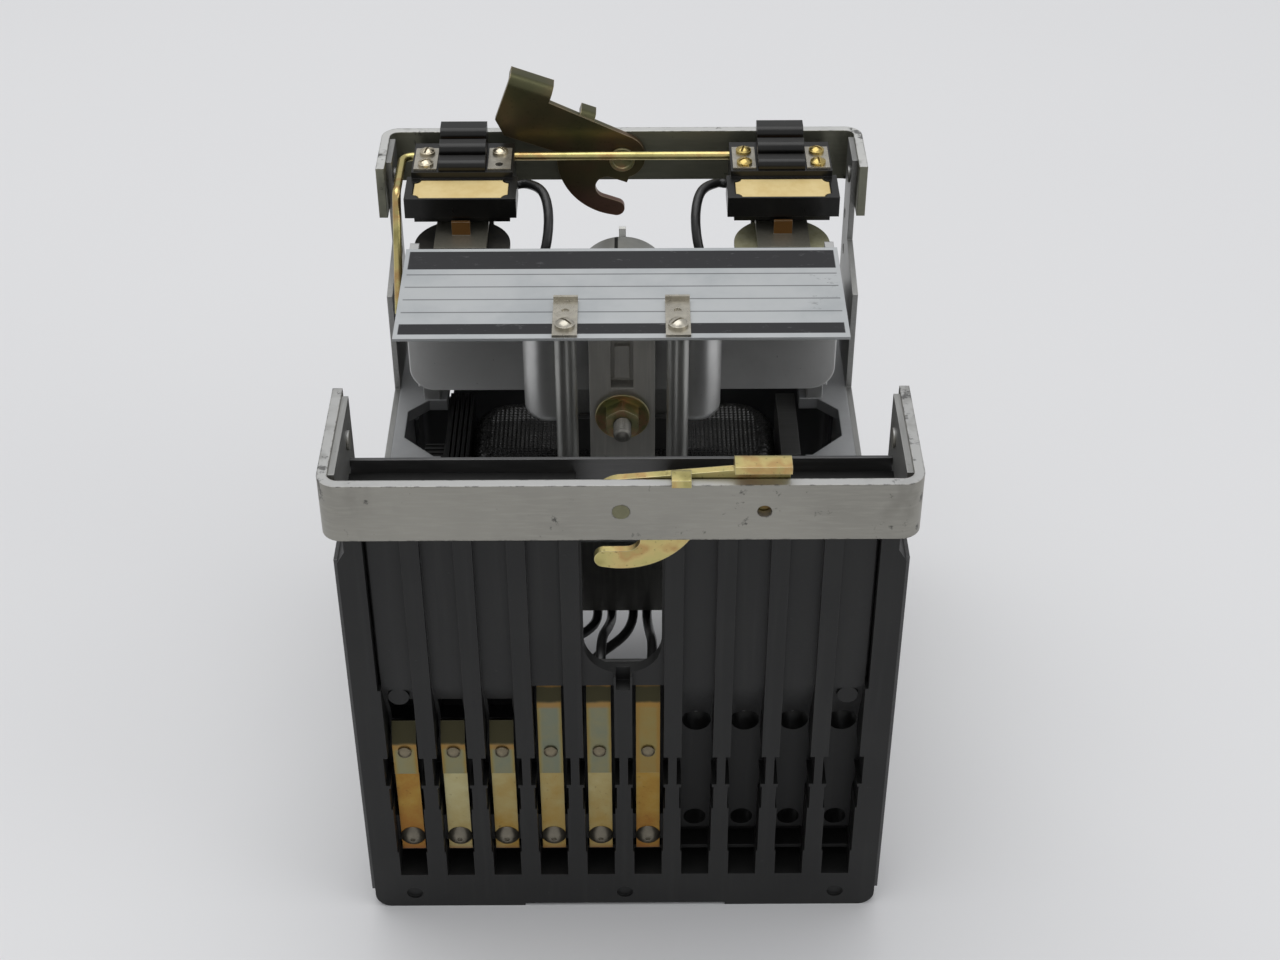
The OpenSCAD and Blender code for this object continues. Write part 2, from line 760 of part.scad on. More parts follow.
module housing() color(cast_grey) seated() {
    difference() {
        union() {
            translate([0, 0, housing_z]) facing(housing_y, housing_y1) difference() {
                tub(housing_w, housing_top - housing_z, housing_r);
                translate([0, housing_wall])
                    tub(housing_w - 2 * housing_wall, housing_top, housing_r - housing_wall);
            }
            translate([0, 0, housing_z]) facing(housing_y, housing_y + housing_wall)
                tub(housing_w, housing_top - housing_z, housing_r);
        }
        span([-disc_slot_half, disc_y - 4, housing_z - 1],
            [disc_slot_half, disc_y + 4, housing_z + housing_wall + 1]);
        translate([0, 0, shaft_z]) bar_y_axis(shaft_hole_r, housing_y - 1, housing_y1 + 1);
    }
    both_sides() {
        translate([pillar_x, pillar_y, pillar_z]) pillar(housing_top - pillar_z);
        span([leg_in, housing_y1 - 7, leg_top - 7], [housing_w / 2, leg_y1, leg_top]);
        span([leg_in, leg_y0, flange_z], [housing_w / 2, leg_y1, leg_top - 1]);
        span([leg_in, housing_y1 - 7, leg_top - 1], [housing_w / 2, housing_y1, housing_z + housing_r + 2]);
    }
}

// Nameplate

module nameplate() color(bright) seated() difference() {
    span([-name_w / 2, name_y0, name_z], [name_w / 2, name_y0 + name_l, name_z + name_t]);
    both_sides() translate([post_x, post_y, name_z - 1]) cylinder(r = 1.5, h = name_t + 2);
}

module nameplate_posts() color(bright) seated() both_sides()
    translate([post_x, post_y, flange_z]) difference() {
        cylinder(r = post_d / 2, h = name_z - flange_z);
        translate([0, 0, name_z - flange_z - 6]) cylinder(r = post_bore / 2, h = 7);
    }

module nameplate_clips() color(bright) seated() both_sides()
    translate([post_x, post_y, name_z + name_t]) difference() {
        union() {
            span([-clip_w / 2, -4.4, 0], [clip_w / 2, clip_l - 4.4, clip_t]);
            span([-clip_w / 2, clip_l - 4.4 - clip_t, 0], [clip_w / 2, clip_l - 4.4, clip_lip]);
        }
        translate([0, 0, -1]) cylinder(r = 1.5, h = clip_t + 2);
        translate([0, clip_hole_y, clip_t / 2]) cylinder(r = clip_hole_r, h = clip_t);
    }

module clip_screws() color(bright) seated() both_sides()
    translate([post_x, post_y, name_z + name_t + clip_t]) rotate([0, 0, 35])
        round_screw(clip_screw_r, clip_screw_h, post_bore / 2 - pin_gap, name_t + clip_t + 5);

// Lower bearing of the rotor

module bearing_bracket() color(bright) seated() difference() {
    span([-bar_half, bar_y, bar_low], [bar_half, bar_y + bar_t, bar_top]);
    difference() {
        span([-3, bar_y - 1, shaft_z + 8.4], [3, bar_y + 4, bar_top - 3]);
        span([-2, bar_y + 2.4, shaft_z + 10], [2, bar_y + 5, bar_top - 8]);
    }
    translate([0, 0, shaft_z]) bar_y_axis(screw_d / 2 + pin_gap, bar_y - 1, bar_y + bar_t + 1);
}

module bearing_screw() color(steel_grey) seated() translate([0, 0, shaft_z]) difference() {
    bar_y_axis(screw_d / 2, bar_y - screw_out, bar_y + bar_t + 1.6);
    bar_y_axis(pivot_r + pin_gap, bar_y + bar_t + 1.6 - jewel_depth, bar_y + bar_t + 3);
}

module cup_washer() color(plated_gold) seated() translate([0, bar_y, shaft_z]) rotate([90, 0, 0])
    rotate_extrude() polygon([[screw_d / 2 + 0.1, 0], [washer_flat + 0.2, 0],
        [washer_d / 2 - 0.6, washer_t - 0.5], [washer_d / 2, washer_t - 0.3], [washer_d / 2 - 0.2, washer_t],
        [washer_flat, washer_flat_t], [screw_d / 2 + 0.1, washer_flat_t]]);

module lock_nut() color(plated_gold) seated()
    translate([0, bar_y - washer_flat_t, shaft_z]) rotate([90, 0, 0]) difference() {
        intersection() {
            rotate([0, 0, 30]) cylinder(r = nut_af / sqrt(3), h = nut_t, $fn = 6);
            cylinder(r1 = nut_af * 0.62, r2 = nut_af * 0.53, h = nut_t);
        }
        translate([0, 0, -1]) cylinder(r = screw_d / 2 + pin_gap, h = nut_t + 2);
    }

// Rotor

module rotor_shaft() color(steel_grey) seated() translate([0, 0, shaft_z]) {
    bar_y_axis(shaft_r, shaft_y0, shaft_y1);
    bar_y_axis(pivot_r, shaft_y0 - 3, shaft_y0 + eps);
    bar_y_axis(pivot_r, shaft_y1 - eps, shaft_y1 + 3);
}

module induction_disc() color("#c4c4c0") seated() translate([0, 0, shaft_z]) difference() {
    bar_y_axis(disc_r, disc_y - disc_t / 2, disc_y + disc_t / 2);
    bar_y_axis(hub_r - 2, disc_y - 2, disc_y + 2);
}

module disc_hub() color("#b59a4c") seated() translate([0, 0, shaft_z]) difference() {
    union() {
        bar_y_axis(hub_r - 2 - pin_gap / 2, disc_y - 4, disc_y + 3);
        bar_y_axis(hub_r, disc_y + disc_t / 2, disc_y + 3);
    }
    bar_y_axis(shaft_r + pin_gap / 2, disc_y - 5, disc_y + 4);
}

module moving_contact() color("#b59a4c") seated() translate([0, 0, shaft_z]) rotate([0, -arm_angle, 0]) {
    difference() {
        union() {
            bar_y_axis(hub_r, arm_y, arm_y + arm_t);
            span([0, arm_y, -1.6], [arm_reach, arm_y + arm_t - 1, 1.6]);
        }
        bar_y_axis(shaft_r + pin_gap / 2, arm_y - 1, arm_y + arm_t + 1);
    }
    translate([arm_reach - 2, arm_y + 1, -1.6 + eps]) rotate([180, 0, 0]) cylinder(r = 1.4, h = 0.8);
}

module upper_bearing() color("#b59a4c") seated() translate([0, 0, shaft_z]) difference() {
    bar_y_axis(sleeve_r, dial_y - 0.5, rear_wall_y + rear_wall_t + 1.5);
    bar_y_axis(shaft_r + 0.6, dial_y - 1, shaft_y1 + 0.5);
    bar_y_axis(pivot_r + pin_gap, shaft_y1, shaft_y1 + 4);
}

module time_dial() color("#9b9c98") seated() translate([0, 0, shaft_z]) {
    difference() {
        union() {
            difference() {
                bar_y_axis(dial_r, dial_y, dial_y + dial_w);
                bar_y_axis(dial_r - 2, dial_y - 1, dial_y + dial_w + 1);
            }
            bar_y_axis(dial_r - 1.9, dial_y + 2.5, dial_y + 4.5);
            bar_y_axis(sleeve_r + 2, dial_y, dial_y + dial_w - 0.5);
        }
        bar_y_axis(sleeve_r + pin_gap, dial_y - 1, dial_y + dial_w + 1);
    }
    rotate([0, -11, 0]) translate([dial_pin_at, 0, 0]) bar_y_axis(dial_pin_r, arm_y + 0.4, dial_y + 3);
}

module dial_pointer() color("#e6e6e2") seated()
    span([-1, rear_wall_y - 1.4, shaft_z + sleeve_r + 0.1], [1, rear_wall_y, shaft_z + dial_r + 2.2]);

function spiral_at(a, r0, r1) = (r0 + (r1 - r0) * a / spring_sweep) * [cos(a), sin(a)];

module spiral_spring() color("#b08a4a") seated() translate([0, 0, shaft_z])
    facing(spring_y, spring_y + spring_w) {
        outer = dial_pin_at - dial_pin_r;
        steps = [0 : 15 : spring_sweep];
        back = [spring_sweep : -15 : 0];
        polygon(concat([for (a = steps) spiral_at(a, spring_in, outer - spring_t)],
            [for (a = back) spiral_at(a, spring_in + spring_t, outer)]));
    }

module fixed_contact() color("#b59a4c") seated() translate([0, 0, shaft_z])
    rotate([0, close_angle - arm_angle, 0]) {
    span([arm_reach - 4, arm_y - 0.6, -4.2], [arm_reach, rear_wall_y - 6, -3.2]);
    translate([arm_reach - 2, arm_y + 1, -3.3]) cylinder(r = 1.4, h = 0.7);
    span([arm_reach - 4, rear_wall_y - 7, -4.2], [arm_reach, rear_wall_y, -1.2]);
}

// Electromagnet

module drag_magnet() color("#55585a") seated() difference() {
    span([-disc_r - magnet_out, disc_y - magnet_half, magnet_z],
        [-disc_r + magnet_over, disc_y + magnet_half, magnet_z + magnet_h]);
    span([-disc_r - 2, disc_y - magnet_gap, magnet_z - 1],
        [-disc_r + magnet_over + 1, disc_y + magnet_gap, magnet_z + magnet_h + 1]);
}

module core() color("#505356") seated() difference() {
    translate([0, core_y, 0]) union() {
        span([-pole_half, -core_d / 2, core_low], [pole_half, core_d / 2, pole_top]);
        span([-limb_in - limb_t, -core_d / 2, core_low], [limb_in + limb_t, core_d / 2, core_low + yoke_t]);
        span([limb_in, -13, core_low], [limb_in + limb_t, 17, limb_top]);
        span([-limb_in - limb_t, -core_d / 2, core_low], [-limb_in, core_d / 2, short_limb_top]);
    }
    span([-pole_half - 1, disc_y - 1.5, pole_slot_z], [pole_half + 1, disc_y + 1.5, pole_top + 1]);
}

module coil_section() translate([coil_turn, coil_low]) {
    square([coil_build - coil_edge, coil_h]);
    translate([0, coil_edge]) square([coil_build, coil_h - 2 * coil_edge]);
    for (z = [coil_edge, coil_h - coil_edge]) translate([coil_build - coil_edge, z]) circle(coil_edge);
}

module main_coil() color("#262626") seated() translate([0, core_y, 0]) {
    side_half = coil_in - coil_turn;
    for (turn = [0, 180]) rotate([0, 0, turn]) {
        translate([coil_straight / 2, side_half, 0]) rotate_extrude(angle = 90) coil_section();
        translate([coil_straight / 2, -side_half, 0])
            rotate([0, 0, -90]) rotate_extrude(angle = 90) coil_section();
        translate([-coil_straight / 2, side_half, 0])
            rotate([90, 0, 90]) linear_extrude(coil_straight) coil_section();
        translate([coil_straight / 2, side_half, 0])
            rotate([90, 0, 0]) linear_extrude(2 * side_half) coil_section();
        span([pole_half + side_gap, -coil_in - eps, coil_low],
            [coil_x - coil_build + eps, coil_in + eps, coil_top]);
    }
}

module core_strap() color(steel_grey) seated()
    span([-plate_in + skirt_t, core_y - core_d / 2 - 0.5, core_low - strap_bar_t],
        [plate_in - skirt_t, core_y + core_d / 2 + 0.5, core_low]);

module coil_terminal() color(black) seated() translate([0, core_y, 0]) {
    out = window_mid - side_gap;
    difference() {
        span([-out, -15, short_limb_top], [-coil_x - side_gap, 18, board_top]);
        for (i = [0 : 3]) translate([-out + 1.4 + i * 1.4, -16, board_top - 6]) cube([0.5, 35, 7]);
    }
    difference() {
        span([-out - lug_w, -12.5, board_top - 8], [-out + eps, -4.5, board_top - 2]);
        for (i = [0 : 3]) translate([-out - lug_w - 1, -11.6 + i * 1.9, board_top - 3.5])
            cube([lug_w + 0.5, 0.8, 3]);
    }
}

// Target units

// A louvre with a round front edge
module louvre(y, l, low, high) {
    r = (high - low) / 2;
    translate([y + r, low]) square([l - r, 2 * r]);
    translate([y + r, low + r]) circle(r);
}

module tower_profile() translate([head_y0, head_z]) {
    louvre(0, 4.5, -0.6, 3);
    translate([1, -1]) square([head_y1 - head_y0 - 1, 2.3]);
    louvre(5.6, louvre_end - 5.6, 1, 5.2);
    translate([louvre_end, -1]) square([head_y1 - head_y0 - louvre_end, 4]);
    louvre(louvre_end + 1.6, head_y1 - head_y0 - louvre_end - 1.6, 2.8, 7);
}

// The label's outline, with its corners cut round the recess's lugs
module label_outline(grow) difference() {
    square([label_w + 2 * grow, label_l + 2 * grow], center = true);
    for (x = [-1, 1], y = [-1, 1])
        translate([x * (label_w / 2 + grow), y * (label_l / 2 + grow)]) circle(label_notch);
}

module target_head() difference() {
    union() {
        span([-head_w / 2, head_y0, head_low], [head_w / 2, head_y1, head_z]);
        span([-head_w / 2 - shelf_over, shelf_y, shelf_low],
            [head_w / 2 + shelf_over, head_y0 + 1, shelf_top]);
        span([-head_w / 2 + 0.8, shelf_y + 4, shelf_low - 3.5],
            [head_w / 2 - 0.8, head_y0 + 1, shelf_low + 1]);
        sideways(-tower_half, tower_half) tower_profile();
    }
    translate([0, label_y, shelf_top - label_t - 0.2]) linear_extrude(2) label_outline(label_gap);
    translate([-head_w, rod_y, rod_z]) rotate([0, 90, 0]) cylinder(r = rod_d / 2 + pin_gap, h = 2 * head_w);
}

module target_label() translate([0, label_y, shelf_top - label_t - 0.2])
    linear_extrude(label_t) label_outline(0);

module target_terminals() for (s = [-1, 1]) difference() {
    span([min(s * terminal_in, s * terminal_out), head_y0 + 1, head_z],
        [max(s * terminal_in, s * terminal_out), head_y1 - 4, head_z + terminal_t]);
    for (y = screw_ys) translate([s * screw_x, y, head_z - 1]) cylinder(r = 1.1, h = 3);
}

module target_bobbin() translate([0, bobbin_y, bobbin_low]) difference() {
    union() {
        cylinder(r = bobbin_r, h = washer_end);
        translate([0, 0, bobbin_top - bobbin_low - washer_end]) cylinder(r = bobbin_r, h = washer_end);
        cylinder(r = core_pin_r + 1.4, h = bobbin_top - bobbin_low);
    }
    translate([0, 0, -1]) cylinder(r = core_pin_r + 0.2, h = bobbin_top - bobbin_low + 2);
}

module target_winding() translate([0, bobbin_y, bobbin_low + washer_end]) difference() {
    cylinder(r = winding_r, h = bobbin_top - bobbin_low - 2 * washer_end);
    translate([0, 0, -1]) cylinder(r = core_pin_r + 1.45, h = bobbin_top - bobbin_low);
}

module target_frame() {
    span([-frame_half, rear_wall_y - frame_t, frame_foot], [frame_half, rear_wall_y, head_low]);
    span([-frame_half, bobbin_y - 9, bobbin_low - frame_t], [frame_half, rear_wall_y, bobbin_low]);
    translate([0, bobbin_y, bobbin_low - eps]) cylinder(r = core_pin_r, h = bobbin_top - bobbin_low + 1);
}

module target_armature() {
    span([-armature_half, armature_y0, armature_z], [armature_half, hinge_y + 1.2, armature_z + armature_t]);
    span([-2.6, shelf_y - 1.4, armature_z + armature_t - eps], [2.6, shelf_y - 0.5, shelf_low - 0.5]);
}

module target_flag() span([-tower_half + 0.6, head_y0 + louvre_end + 0.3, head_z + 3.1],
    [tower_half - 0.6, head_y0 + louvre_end + 1.3, head_z + 4.3]);

module at_unit(side) seated() translate([side * unit_mid, 0, 0]) children();

module seal_in_head() color(black) at_unit(-1) target_head();
module seal_in_label() color(cream) at_unit(-1) target_label();
module seal_in_terminals() color(bright) at_unit(-1) target_terminals();
module seal_in_bobbin() color("#3a3a38") at_unit(-1) target_bobbin();
module seal_in_winding() color("#6a3f24") at_unit(-1) target_winding();
module seal_in_frame() color(steel_grey) at_unit(-1) target_frame();
module seal_in_armature() color(bright) at_unit(-1) target_armature();
module seal_in_flag() color("#8a3a20") at_unit(-1) target_flag();
module instant_head() color(black) at_unit(1) target_head();
module instant_label() color(cream) at_unit(1) target_label();
module instant_terminals() color(bright) at_unit(1) target_terminals();
module instant_bobbin() color("#b8b48a") at_unit(1) target_bobbin();
module instant_winding() color("#6a3f24") at_unit(1) target_winding();
module instant_frame() color(steel_grey) at_unit(1) target_frame();
module instant_armature() color(bright) at_unit(1) target_armature();
module instant_flag() color("#8a3a20") at_unit(1) target_flag();

module target_screws() color(bright) for (side = [-1, 1]) at_unit(side) for (s = [-1, 1], y = screw_ys)
    if (!(side < 0 && s > 0 && y == screw_ys[0]))
        translate([s * screw_x, y, head_z + terminal_t]) rotate([0, 0, 40 * s + 7 * y])
            round_screw(screw_head_r, 1.6, 1, terminal_t);

// A bent piece of round wire, turning through an angle in its own X and Y
module elbow(r, bend, angle) rotate([0, 0, 90]) rotate_extrude(angle = angle) translate([bend, 0]) circle(r);

module reset_rod() color(plated_gold) seated() {
    r = rod_d / 2;
    leg_y = rod_y - rod_bend;
    drop_y = rod_y - rod_leg_l;
    translate([rod_leg_x + rod_bend, rod_y, rod_z]) rotate([0, 90, 0])
        cylinder(r = r, h = head_side + head_w - 4 - rod_leg_x - rod_bend);
    translate([rod_leg_x + rod_bend, leg_y, rod_z]) elbow(r, rod_bend, 90);
    translate([rod_leg_x, 0, rod_z]) bar_y_axis(r, drop_y, leg_y);
    translate([rod_leg_x, drop_y, rod_z - rod_bend]) rotate([90, 0, 90]) {
        elbow(r, rod_bend, rod_drop);
        rotate([0, 0, 90 + rod_drop]) translate([rod_bend, 0, 0])
            rotate([-90, 0, 0]) cylinder(r = r, h = rod_foot_l);
    }
}

// Leads: a tube swept along a smooth curve through the chosen points

function curve_at(p, i, t) =
    let (a = p[max(i - 1, 0)], b = p[i], c = p[i + 1], d = p[min(i + 2, len(p) - 1)])
    0.5 * (2 * b + (c - a) * t + (2 * a - 5 * b + 4 * c - d) * t * t + (3 * b - a - 3 * c + d) * t * t * t);

function smooth(p) = concat(
    [for (i = [0 : len(p) - 2], k = [0 : lead_steps - 1]) curve_at(p, i, k / lead_steps)], [p[len(p) - 1]]);

function unit(v) = v / norm(v);

function ring(at, along, r) =
    let (u = unit(cross(along, [1, 0.2, 0.1])), v = cross(unit(along), u))
    [for (k = [0 : lead_sides - 1]) at + r * (cos(360 * k / lead_sides) * u + sin(360 * k / lead_sides) * v)];

module lead(route) {
    path = smooth(route);
    last = len(path) - 1;
    ends = len(route) - 1;
    headings = [for (i = [0 : last])
        i == 0 ? route[1] - route[0] : i == last ? route[ends] - route[ends - 1] : path[i + 1] - path[i - 1]];
    points = [for (i = [0 : last]) each ring(path[i], headings[i], lead_d / 2)];
    sides = [for (i = [0 : last - 1], k = [0 : lead_sides - 1])
        let (a = i * lead_sides + k, b = i * lead_sides + (k + 1) % lead_sides)
        each [[a, b, b + lead_sides], [a, b + lead_sides, a + lead_sides]]];
    start = [for (k = [lead_sides - 1 : -1 : 0]) k];
    finish = [for (k = [0 : lead_sides - 1]) last * lead_sides + k];
    polyhedron(points, concat(sides, [start], [finish]));
}

module block_leads() color("#1d1d1d") placed() for (route = block_routes) lead(route);
module target_leads() color("#1d1d1d") seated() for (route = target_routes) lead(route);

contact_block();
short_fingers();
long_fingers();
finger_tips();
finger_buttons();
finger_rivets();
block_bracket();
left_side_plate();
right_side_plate();
near_strap();
far_strap();
strap_rivets();
near_latch();
far_latch();
near_pivot();
far_pivot();
cast_frame();
housing();
nameplate();
nameplate_posts();
nameplate_clips();
clip_screws();
bearing_bracket();
bearing_screw();
cup_washer();
lock_nut();
rotor_shaft();
induction_disc();
disc_hub();
moving_contact();
upper_bearing();
time_dial();
dial_pointer();
spiral_spring();
fixed_contact();
drag_magnet();
core();
main_coil();
core_strap();
coil_terminal();
seal_in_head();
seal_in_label();
seal_in_terminals();
seal_in_bobbin();
seal_in_winding();
seal_in_frame();
seal_in_armature();
seal_in_flag();
instant_head();
instant_label();
instant_terminals();
instant_bobbin();
instant_winding();
instant_frame();
instant_armature();
instant_flag();
target_screws();
reset_rod();
block_leads();
target_leads();
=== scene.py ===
# %% [markdown]
# A draw-out protection relay lies on its back on a pale bench, with its contact block towards us.
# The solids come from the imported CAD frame. This lesson dresses them: it sets the camera and light,
# writes the finishes as small formulas, and adds four surfaces: the woven tape on the coil, the thread
# on the bearing screw, and two thin walls of the casting that the solids lack.

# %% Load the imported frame
import json
from math import pi, radians

import bmesh
import bpy
import numpy as np
from mathutils import Matrix, Vector


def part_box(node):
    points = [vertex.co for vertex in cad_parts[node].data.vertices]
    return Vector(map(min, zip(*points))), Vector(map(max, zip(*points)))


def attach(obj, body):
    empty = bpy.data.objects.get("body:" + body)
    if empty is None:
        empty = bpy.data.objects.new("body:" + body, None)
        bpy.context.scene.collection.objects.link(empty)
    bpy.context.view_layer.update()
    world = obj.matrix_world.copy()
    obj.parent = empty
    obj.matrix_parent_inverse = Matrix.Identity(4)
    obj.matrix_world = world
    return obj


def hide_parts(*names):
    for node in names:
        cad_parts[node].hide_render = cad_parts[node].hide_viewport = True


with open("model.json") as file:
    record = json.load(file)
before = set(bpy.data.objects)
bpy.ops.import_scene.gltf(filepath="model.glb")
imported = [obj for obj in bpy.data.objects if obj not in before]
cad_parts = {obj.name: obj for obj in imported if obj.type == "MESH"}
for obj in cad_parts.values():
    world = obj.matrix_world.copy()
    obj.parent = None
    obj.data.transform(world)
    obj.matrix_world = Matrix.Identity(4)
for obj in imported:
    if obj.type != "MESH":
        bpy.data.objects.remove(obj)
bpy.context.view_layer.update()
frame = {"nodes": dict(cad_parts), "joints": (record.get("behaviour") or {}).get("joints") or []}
nodes = frame["nodes"]
MM = 0.001
FACE_Y = -73.0  # front face of the contact block in mm, from which the finishes count Y

# %% [markdown]
# The photograph was taken from in front and above with a longish lens. Its ten evenly spaced contact
# ways fix the camera: height, distance and tilt follow from how their spacing shrinks up the block. An
# unturned camera looks straight down, so the matrix tips it up, and adds the slight pan and roll of a
# hand-held shot. The Standard view transform shows the colours as the formulas give them.

# %% Camera
SENSOR, LENS = 36, 58.58
CAMERA_AT = (3.04, -457.2, 443.7)
PAN, LOOK_DOWN, ROLL = -0.206, 37.59, -0.14
scene = bpy.context.scene
scene.view_settings.view_transform = "Standard"
camera_data = bpy.data.cameras.new("camera")
camera_data.sensor_width, camera_data.lens = SENSOR, LENS
camera = bpy.data.objects.new("camera", camera_data)
camera.matrix_world = (Matrix.Translation([v * MM for v in CAMERA_AT])
                       @ Matrix.Rotation(radians(PAN), 4, "Z")
                       @ Matrix.Rotation(radians(90 - LOOK_DOWN), 4, "X")
                       @ Matrix.Rotation(radians(ROLL), 4, "Z"))
scene.collection.objects.link(camera)
scene.camera = camera
print("camera at", [round(v, 3) for v in camera.location])

# %% [markdown]
# A value that changes over a surface is a chain of shader nodes. Wrapping a socket in a small class
# lets us write that chain as arithmetic: `0.3 + 0.2 * grain` adds the Math nodes by itself. Everything
# that isn't arithmetic, such as a noise or a colour ramp, comes from the one `node` method.

# %% A socket that can be added and multiplied


class Wire:
    """A shader socket. Its operators add Math nodes, so a Python expression becomes part of the tree."""

    def __init__(self, socket):
        self.socket = socket

    def node(self, kind, settings=None, inputs=None, out=0):
        """Adds one node: its settings first (a ramp's stops as (place, colour) pairs), then its sockets."""
        made = self.socket.id_data.nodes.new(kind)
        for name, value in (settings or {}).items():
            if name == "stops":
                ramp = made.color_ramp
                while len(ramp.elements) < len(value):
                    ramp.elements.new(1.0)
                for stop, (place, colour) in zip(ramp.elements, value):
                    stop.position, stop.color = place, (*colour, 1)
            elif name == "steps":
                made.color_ramp.interpolation = "CONSTANT"
            else:
                setattr(made, name, value)
        for name, value in (inputs or {}).items():
            if isinstance(value, Wire):
                made.id_data.links.new(value.socket, made.inputs[name])
            else:
                made.inputs[name].default_value = value
        return Wire(made.outputs[out])

    def math(self, operation, *values):
        return self.node("ShaderNodeMath", {"operation": operation}, dict(enumerate(values)))

    def __add__(self, other):
        return self.math("ADD", self, other)

    def __radd__(self, other):
        return self.math("ADD", other, self)

    def __sub__(self, other):
        return self.math("SUBTRACT", self, other)

    def __rsub__(self, other):
        return self.math("SUBTRACT", other, self)

    def __mul__(self, other):
        return self.math("MULTIPLY", self, other)

    def __rmul__(self, other):
        return self.math("MULTIPLY", other, self)

    def __truediv__(self, other):
        return self.math("DIVIDE", self, other)

    def __rtruediv__(self, other):
        return self.math("DIVIDE", other, self)

    def __abs__(self):
        return self.math("ABSOLUTE", self)

    def between(self, low, high):
        """0 below low, 1 above high, and a smooth step in between; low may be the larger."""
        return self.node("ShaderNodeMapRange", {"interpolation_type": "SMOOTHSTEP"},
                         {"Value": self, "From Min": low, "From Max": high})

    def stripe(self, middle, half, soft):
        """1 within half of the middle, 0 outside, with a soft border."""
        return abs(self - middle).between(half + soft, half)

    def ramp(self, *stops):
        """A colour for each value, through (place, colour) stops."""
        return self.node("ShaderNodeValToRGB", {"stops": stops}, {"Fac": self})

    def tint(self, colour, amount):
        """This colour, mixed towards another by an amount from 0 to 1."""
        colour = colour if isinstance(colour, Wire) else (*colour, 1)
        return self.node("ShaderNodeMix", {"data_type": "RGBA"}, {0: amount, 6: self, 7: colour}, out=2)


print("sockets can be added, multiplied and mixed")

# %% [markdown]
# A finish is one material. It starts from the piece's own coordinates in millimetres, so that a scratch
# or a grain has its real size on every piece, and it ends in the main shader. Edges matter most on
# metal and mouldings: the Bevel node eases them for the light, and comparing that eased normal with the
# true one tells the formulas where an edge is, so that it can be rubbed bright or chipped dark.

# %% A finish


class Finish:
    """One material: its Object coordinates in millimetres, and the shader that the formulas end in."""

    def __init__(self, name, **constants):
        self.material = bpy.data.materials.new(name)
        self.material.use_nodes = True
        tree = self.material.node_tree
        self.shader = next(n for n in tree.nodes if n.type == "BSDF_PRINCIPLED")
        for socket, value in constants.items():
            self.shader.inputs[socket.replace("_", " ")].default_value = value
        place = Wire(tree.nodes.new("ShaderNodeTexCoord").outputs["Object"])
        self.at = place.node("ShaderNodeVectorMath", {"operation": "SCALE"}, {0: place, "Scale": 1 / MM})
        self.x, self.y, self.z = (
            self.at.node("ShaderNodeSeparateXYZ", None, {"Vector": self.at}, out=i) for i in range(3))
        self.y = self.y - FACE_Y

    def noise(self, size, detail=3, rough=0.55, stretch=(1, 1, 1), seed=0.0):
        """Cloudy grain around 0.5, with features of about that many millimetres."""
        spot = self.at.node("ShaderNodeMapping", None, {"Vector": self.at, "Scale": stretch,
                                                        "Location": (seed, 1.7 * seed, -seed)})
        return self.at.node("ShaderNodeTexNoise", None, {"Vector": spot, "Scale": 1 / size, "Detail": detail,
                                                         "Roughness": rough})

    def flat(self, colour):
        """A plain colour to start a mix from."""
        return self.at.node("ShaderNodeValToRGB", {"stops": ((0, colour), (1, colour))}, {"Fac": 0.0})

    def rounded(self, radius):
        """The normal of a surface whose edges are eased by that many millimetres."""
        return self.at.node("ShaderNodeBevel", {"samples": 6}, {"Radius": radius * MM})

    def true_normal(self):
        return self.at.node("ShaderNodeNewGeometry", None, None, out=1)

    def upward(self):
        """1 on faces that look up, 0 on upright ones."""
        return self.at.node("ShaderNodeSeparateXYZ", None, {"Vector": self.true_normal()}, out=2)

    def edge(self, radius):
        """1 along outer and inner edges, 0 on flats: how far the eased normal leans from the true one."""
        lean = self.at.node("ShaderNodeVectorMath", {"operation": "DOT_PRODUCT"},
                            {0: self.rounded(radius), 1: self.true_normal()}, out=1)
        return lean.between(0.995, 0.8)

    def set(self, colour=None, roughness=None, metallic=None, height=None, depth=0.05, ease=0.0):
        """Ends the formulas in the shader. height is a relief from 0 to 1, depth its size in millimetres."""
        for socket, value in (("Base Color", colour), ("Roughness", roughness), ("Metallic", metallic)):
            if isinstance(value, Wire):
                value.socket.id_data.links.new(value.socket, self.shader.inputs[socket])
            elif value is not None:
                self.shader.inputs[socket].default_value = value
        normal = self.rounded(ease) if ease else None
        if height is not None:
            links = {"Height": height, "Distance": depth * MM, "Strength": 1.0}
            if normal:
                links["Normal"] = normal
            normal = self.at.node("ShaderNodeBump", None, links)
        if normal:
            normal.socket.id_data.links.new(normal.socket, self.shader.inputs["Normal"])
        return self.material


def shade(colour, factor):
    """A colour made darker or brighter, held at white."""
    return tuple(min(1.0, factor * c) for c in colour)


def dress(material, *names):
    """Puts a finish on CAD nodes, and remembers them."""
    for name in names:
        nodes[name].data.materials.clear()
        nodes[name].data.materials.append(material)
        dressed.add(name)


dressed = set()
print("finishes can be mixed")

# %% [markdown]
# The contact block is a black moulding. Its faces are satin, a little dusty and slightly lighter where
# its edges have been rubbed. Long faint draw marks run down it, because the connection plug slides along
# its channels. The heads of the target units are the same stuff, but blacker and glossier.

# %% Black mouldings


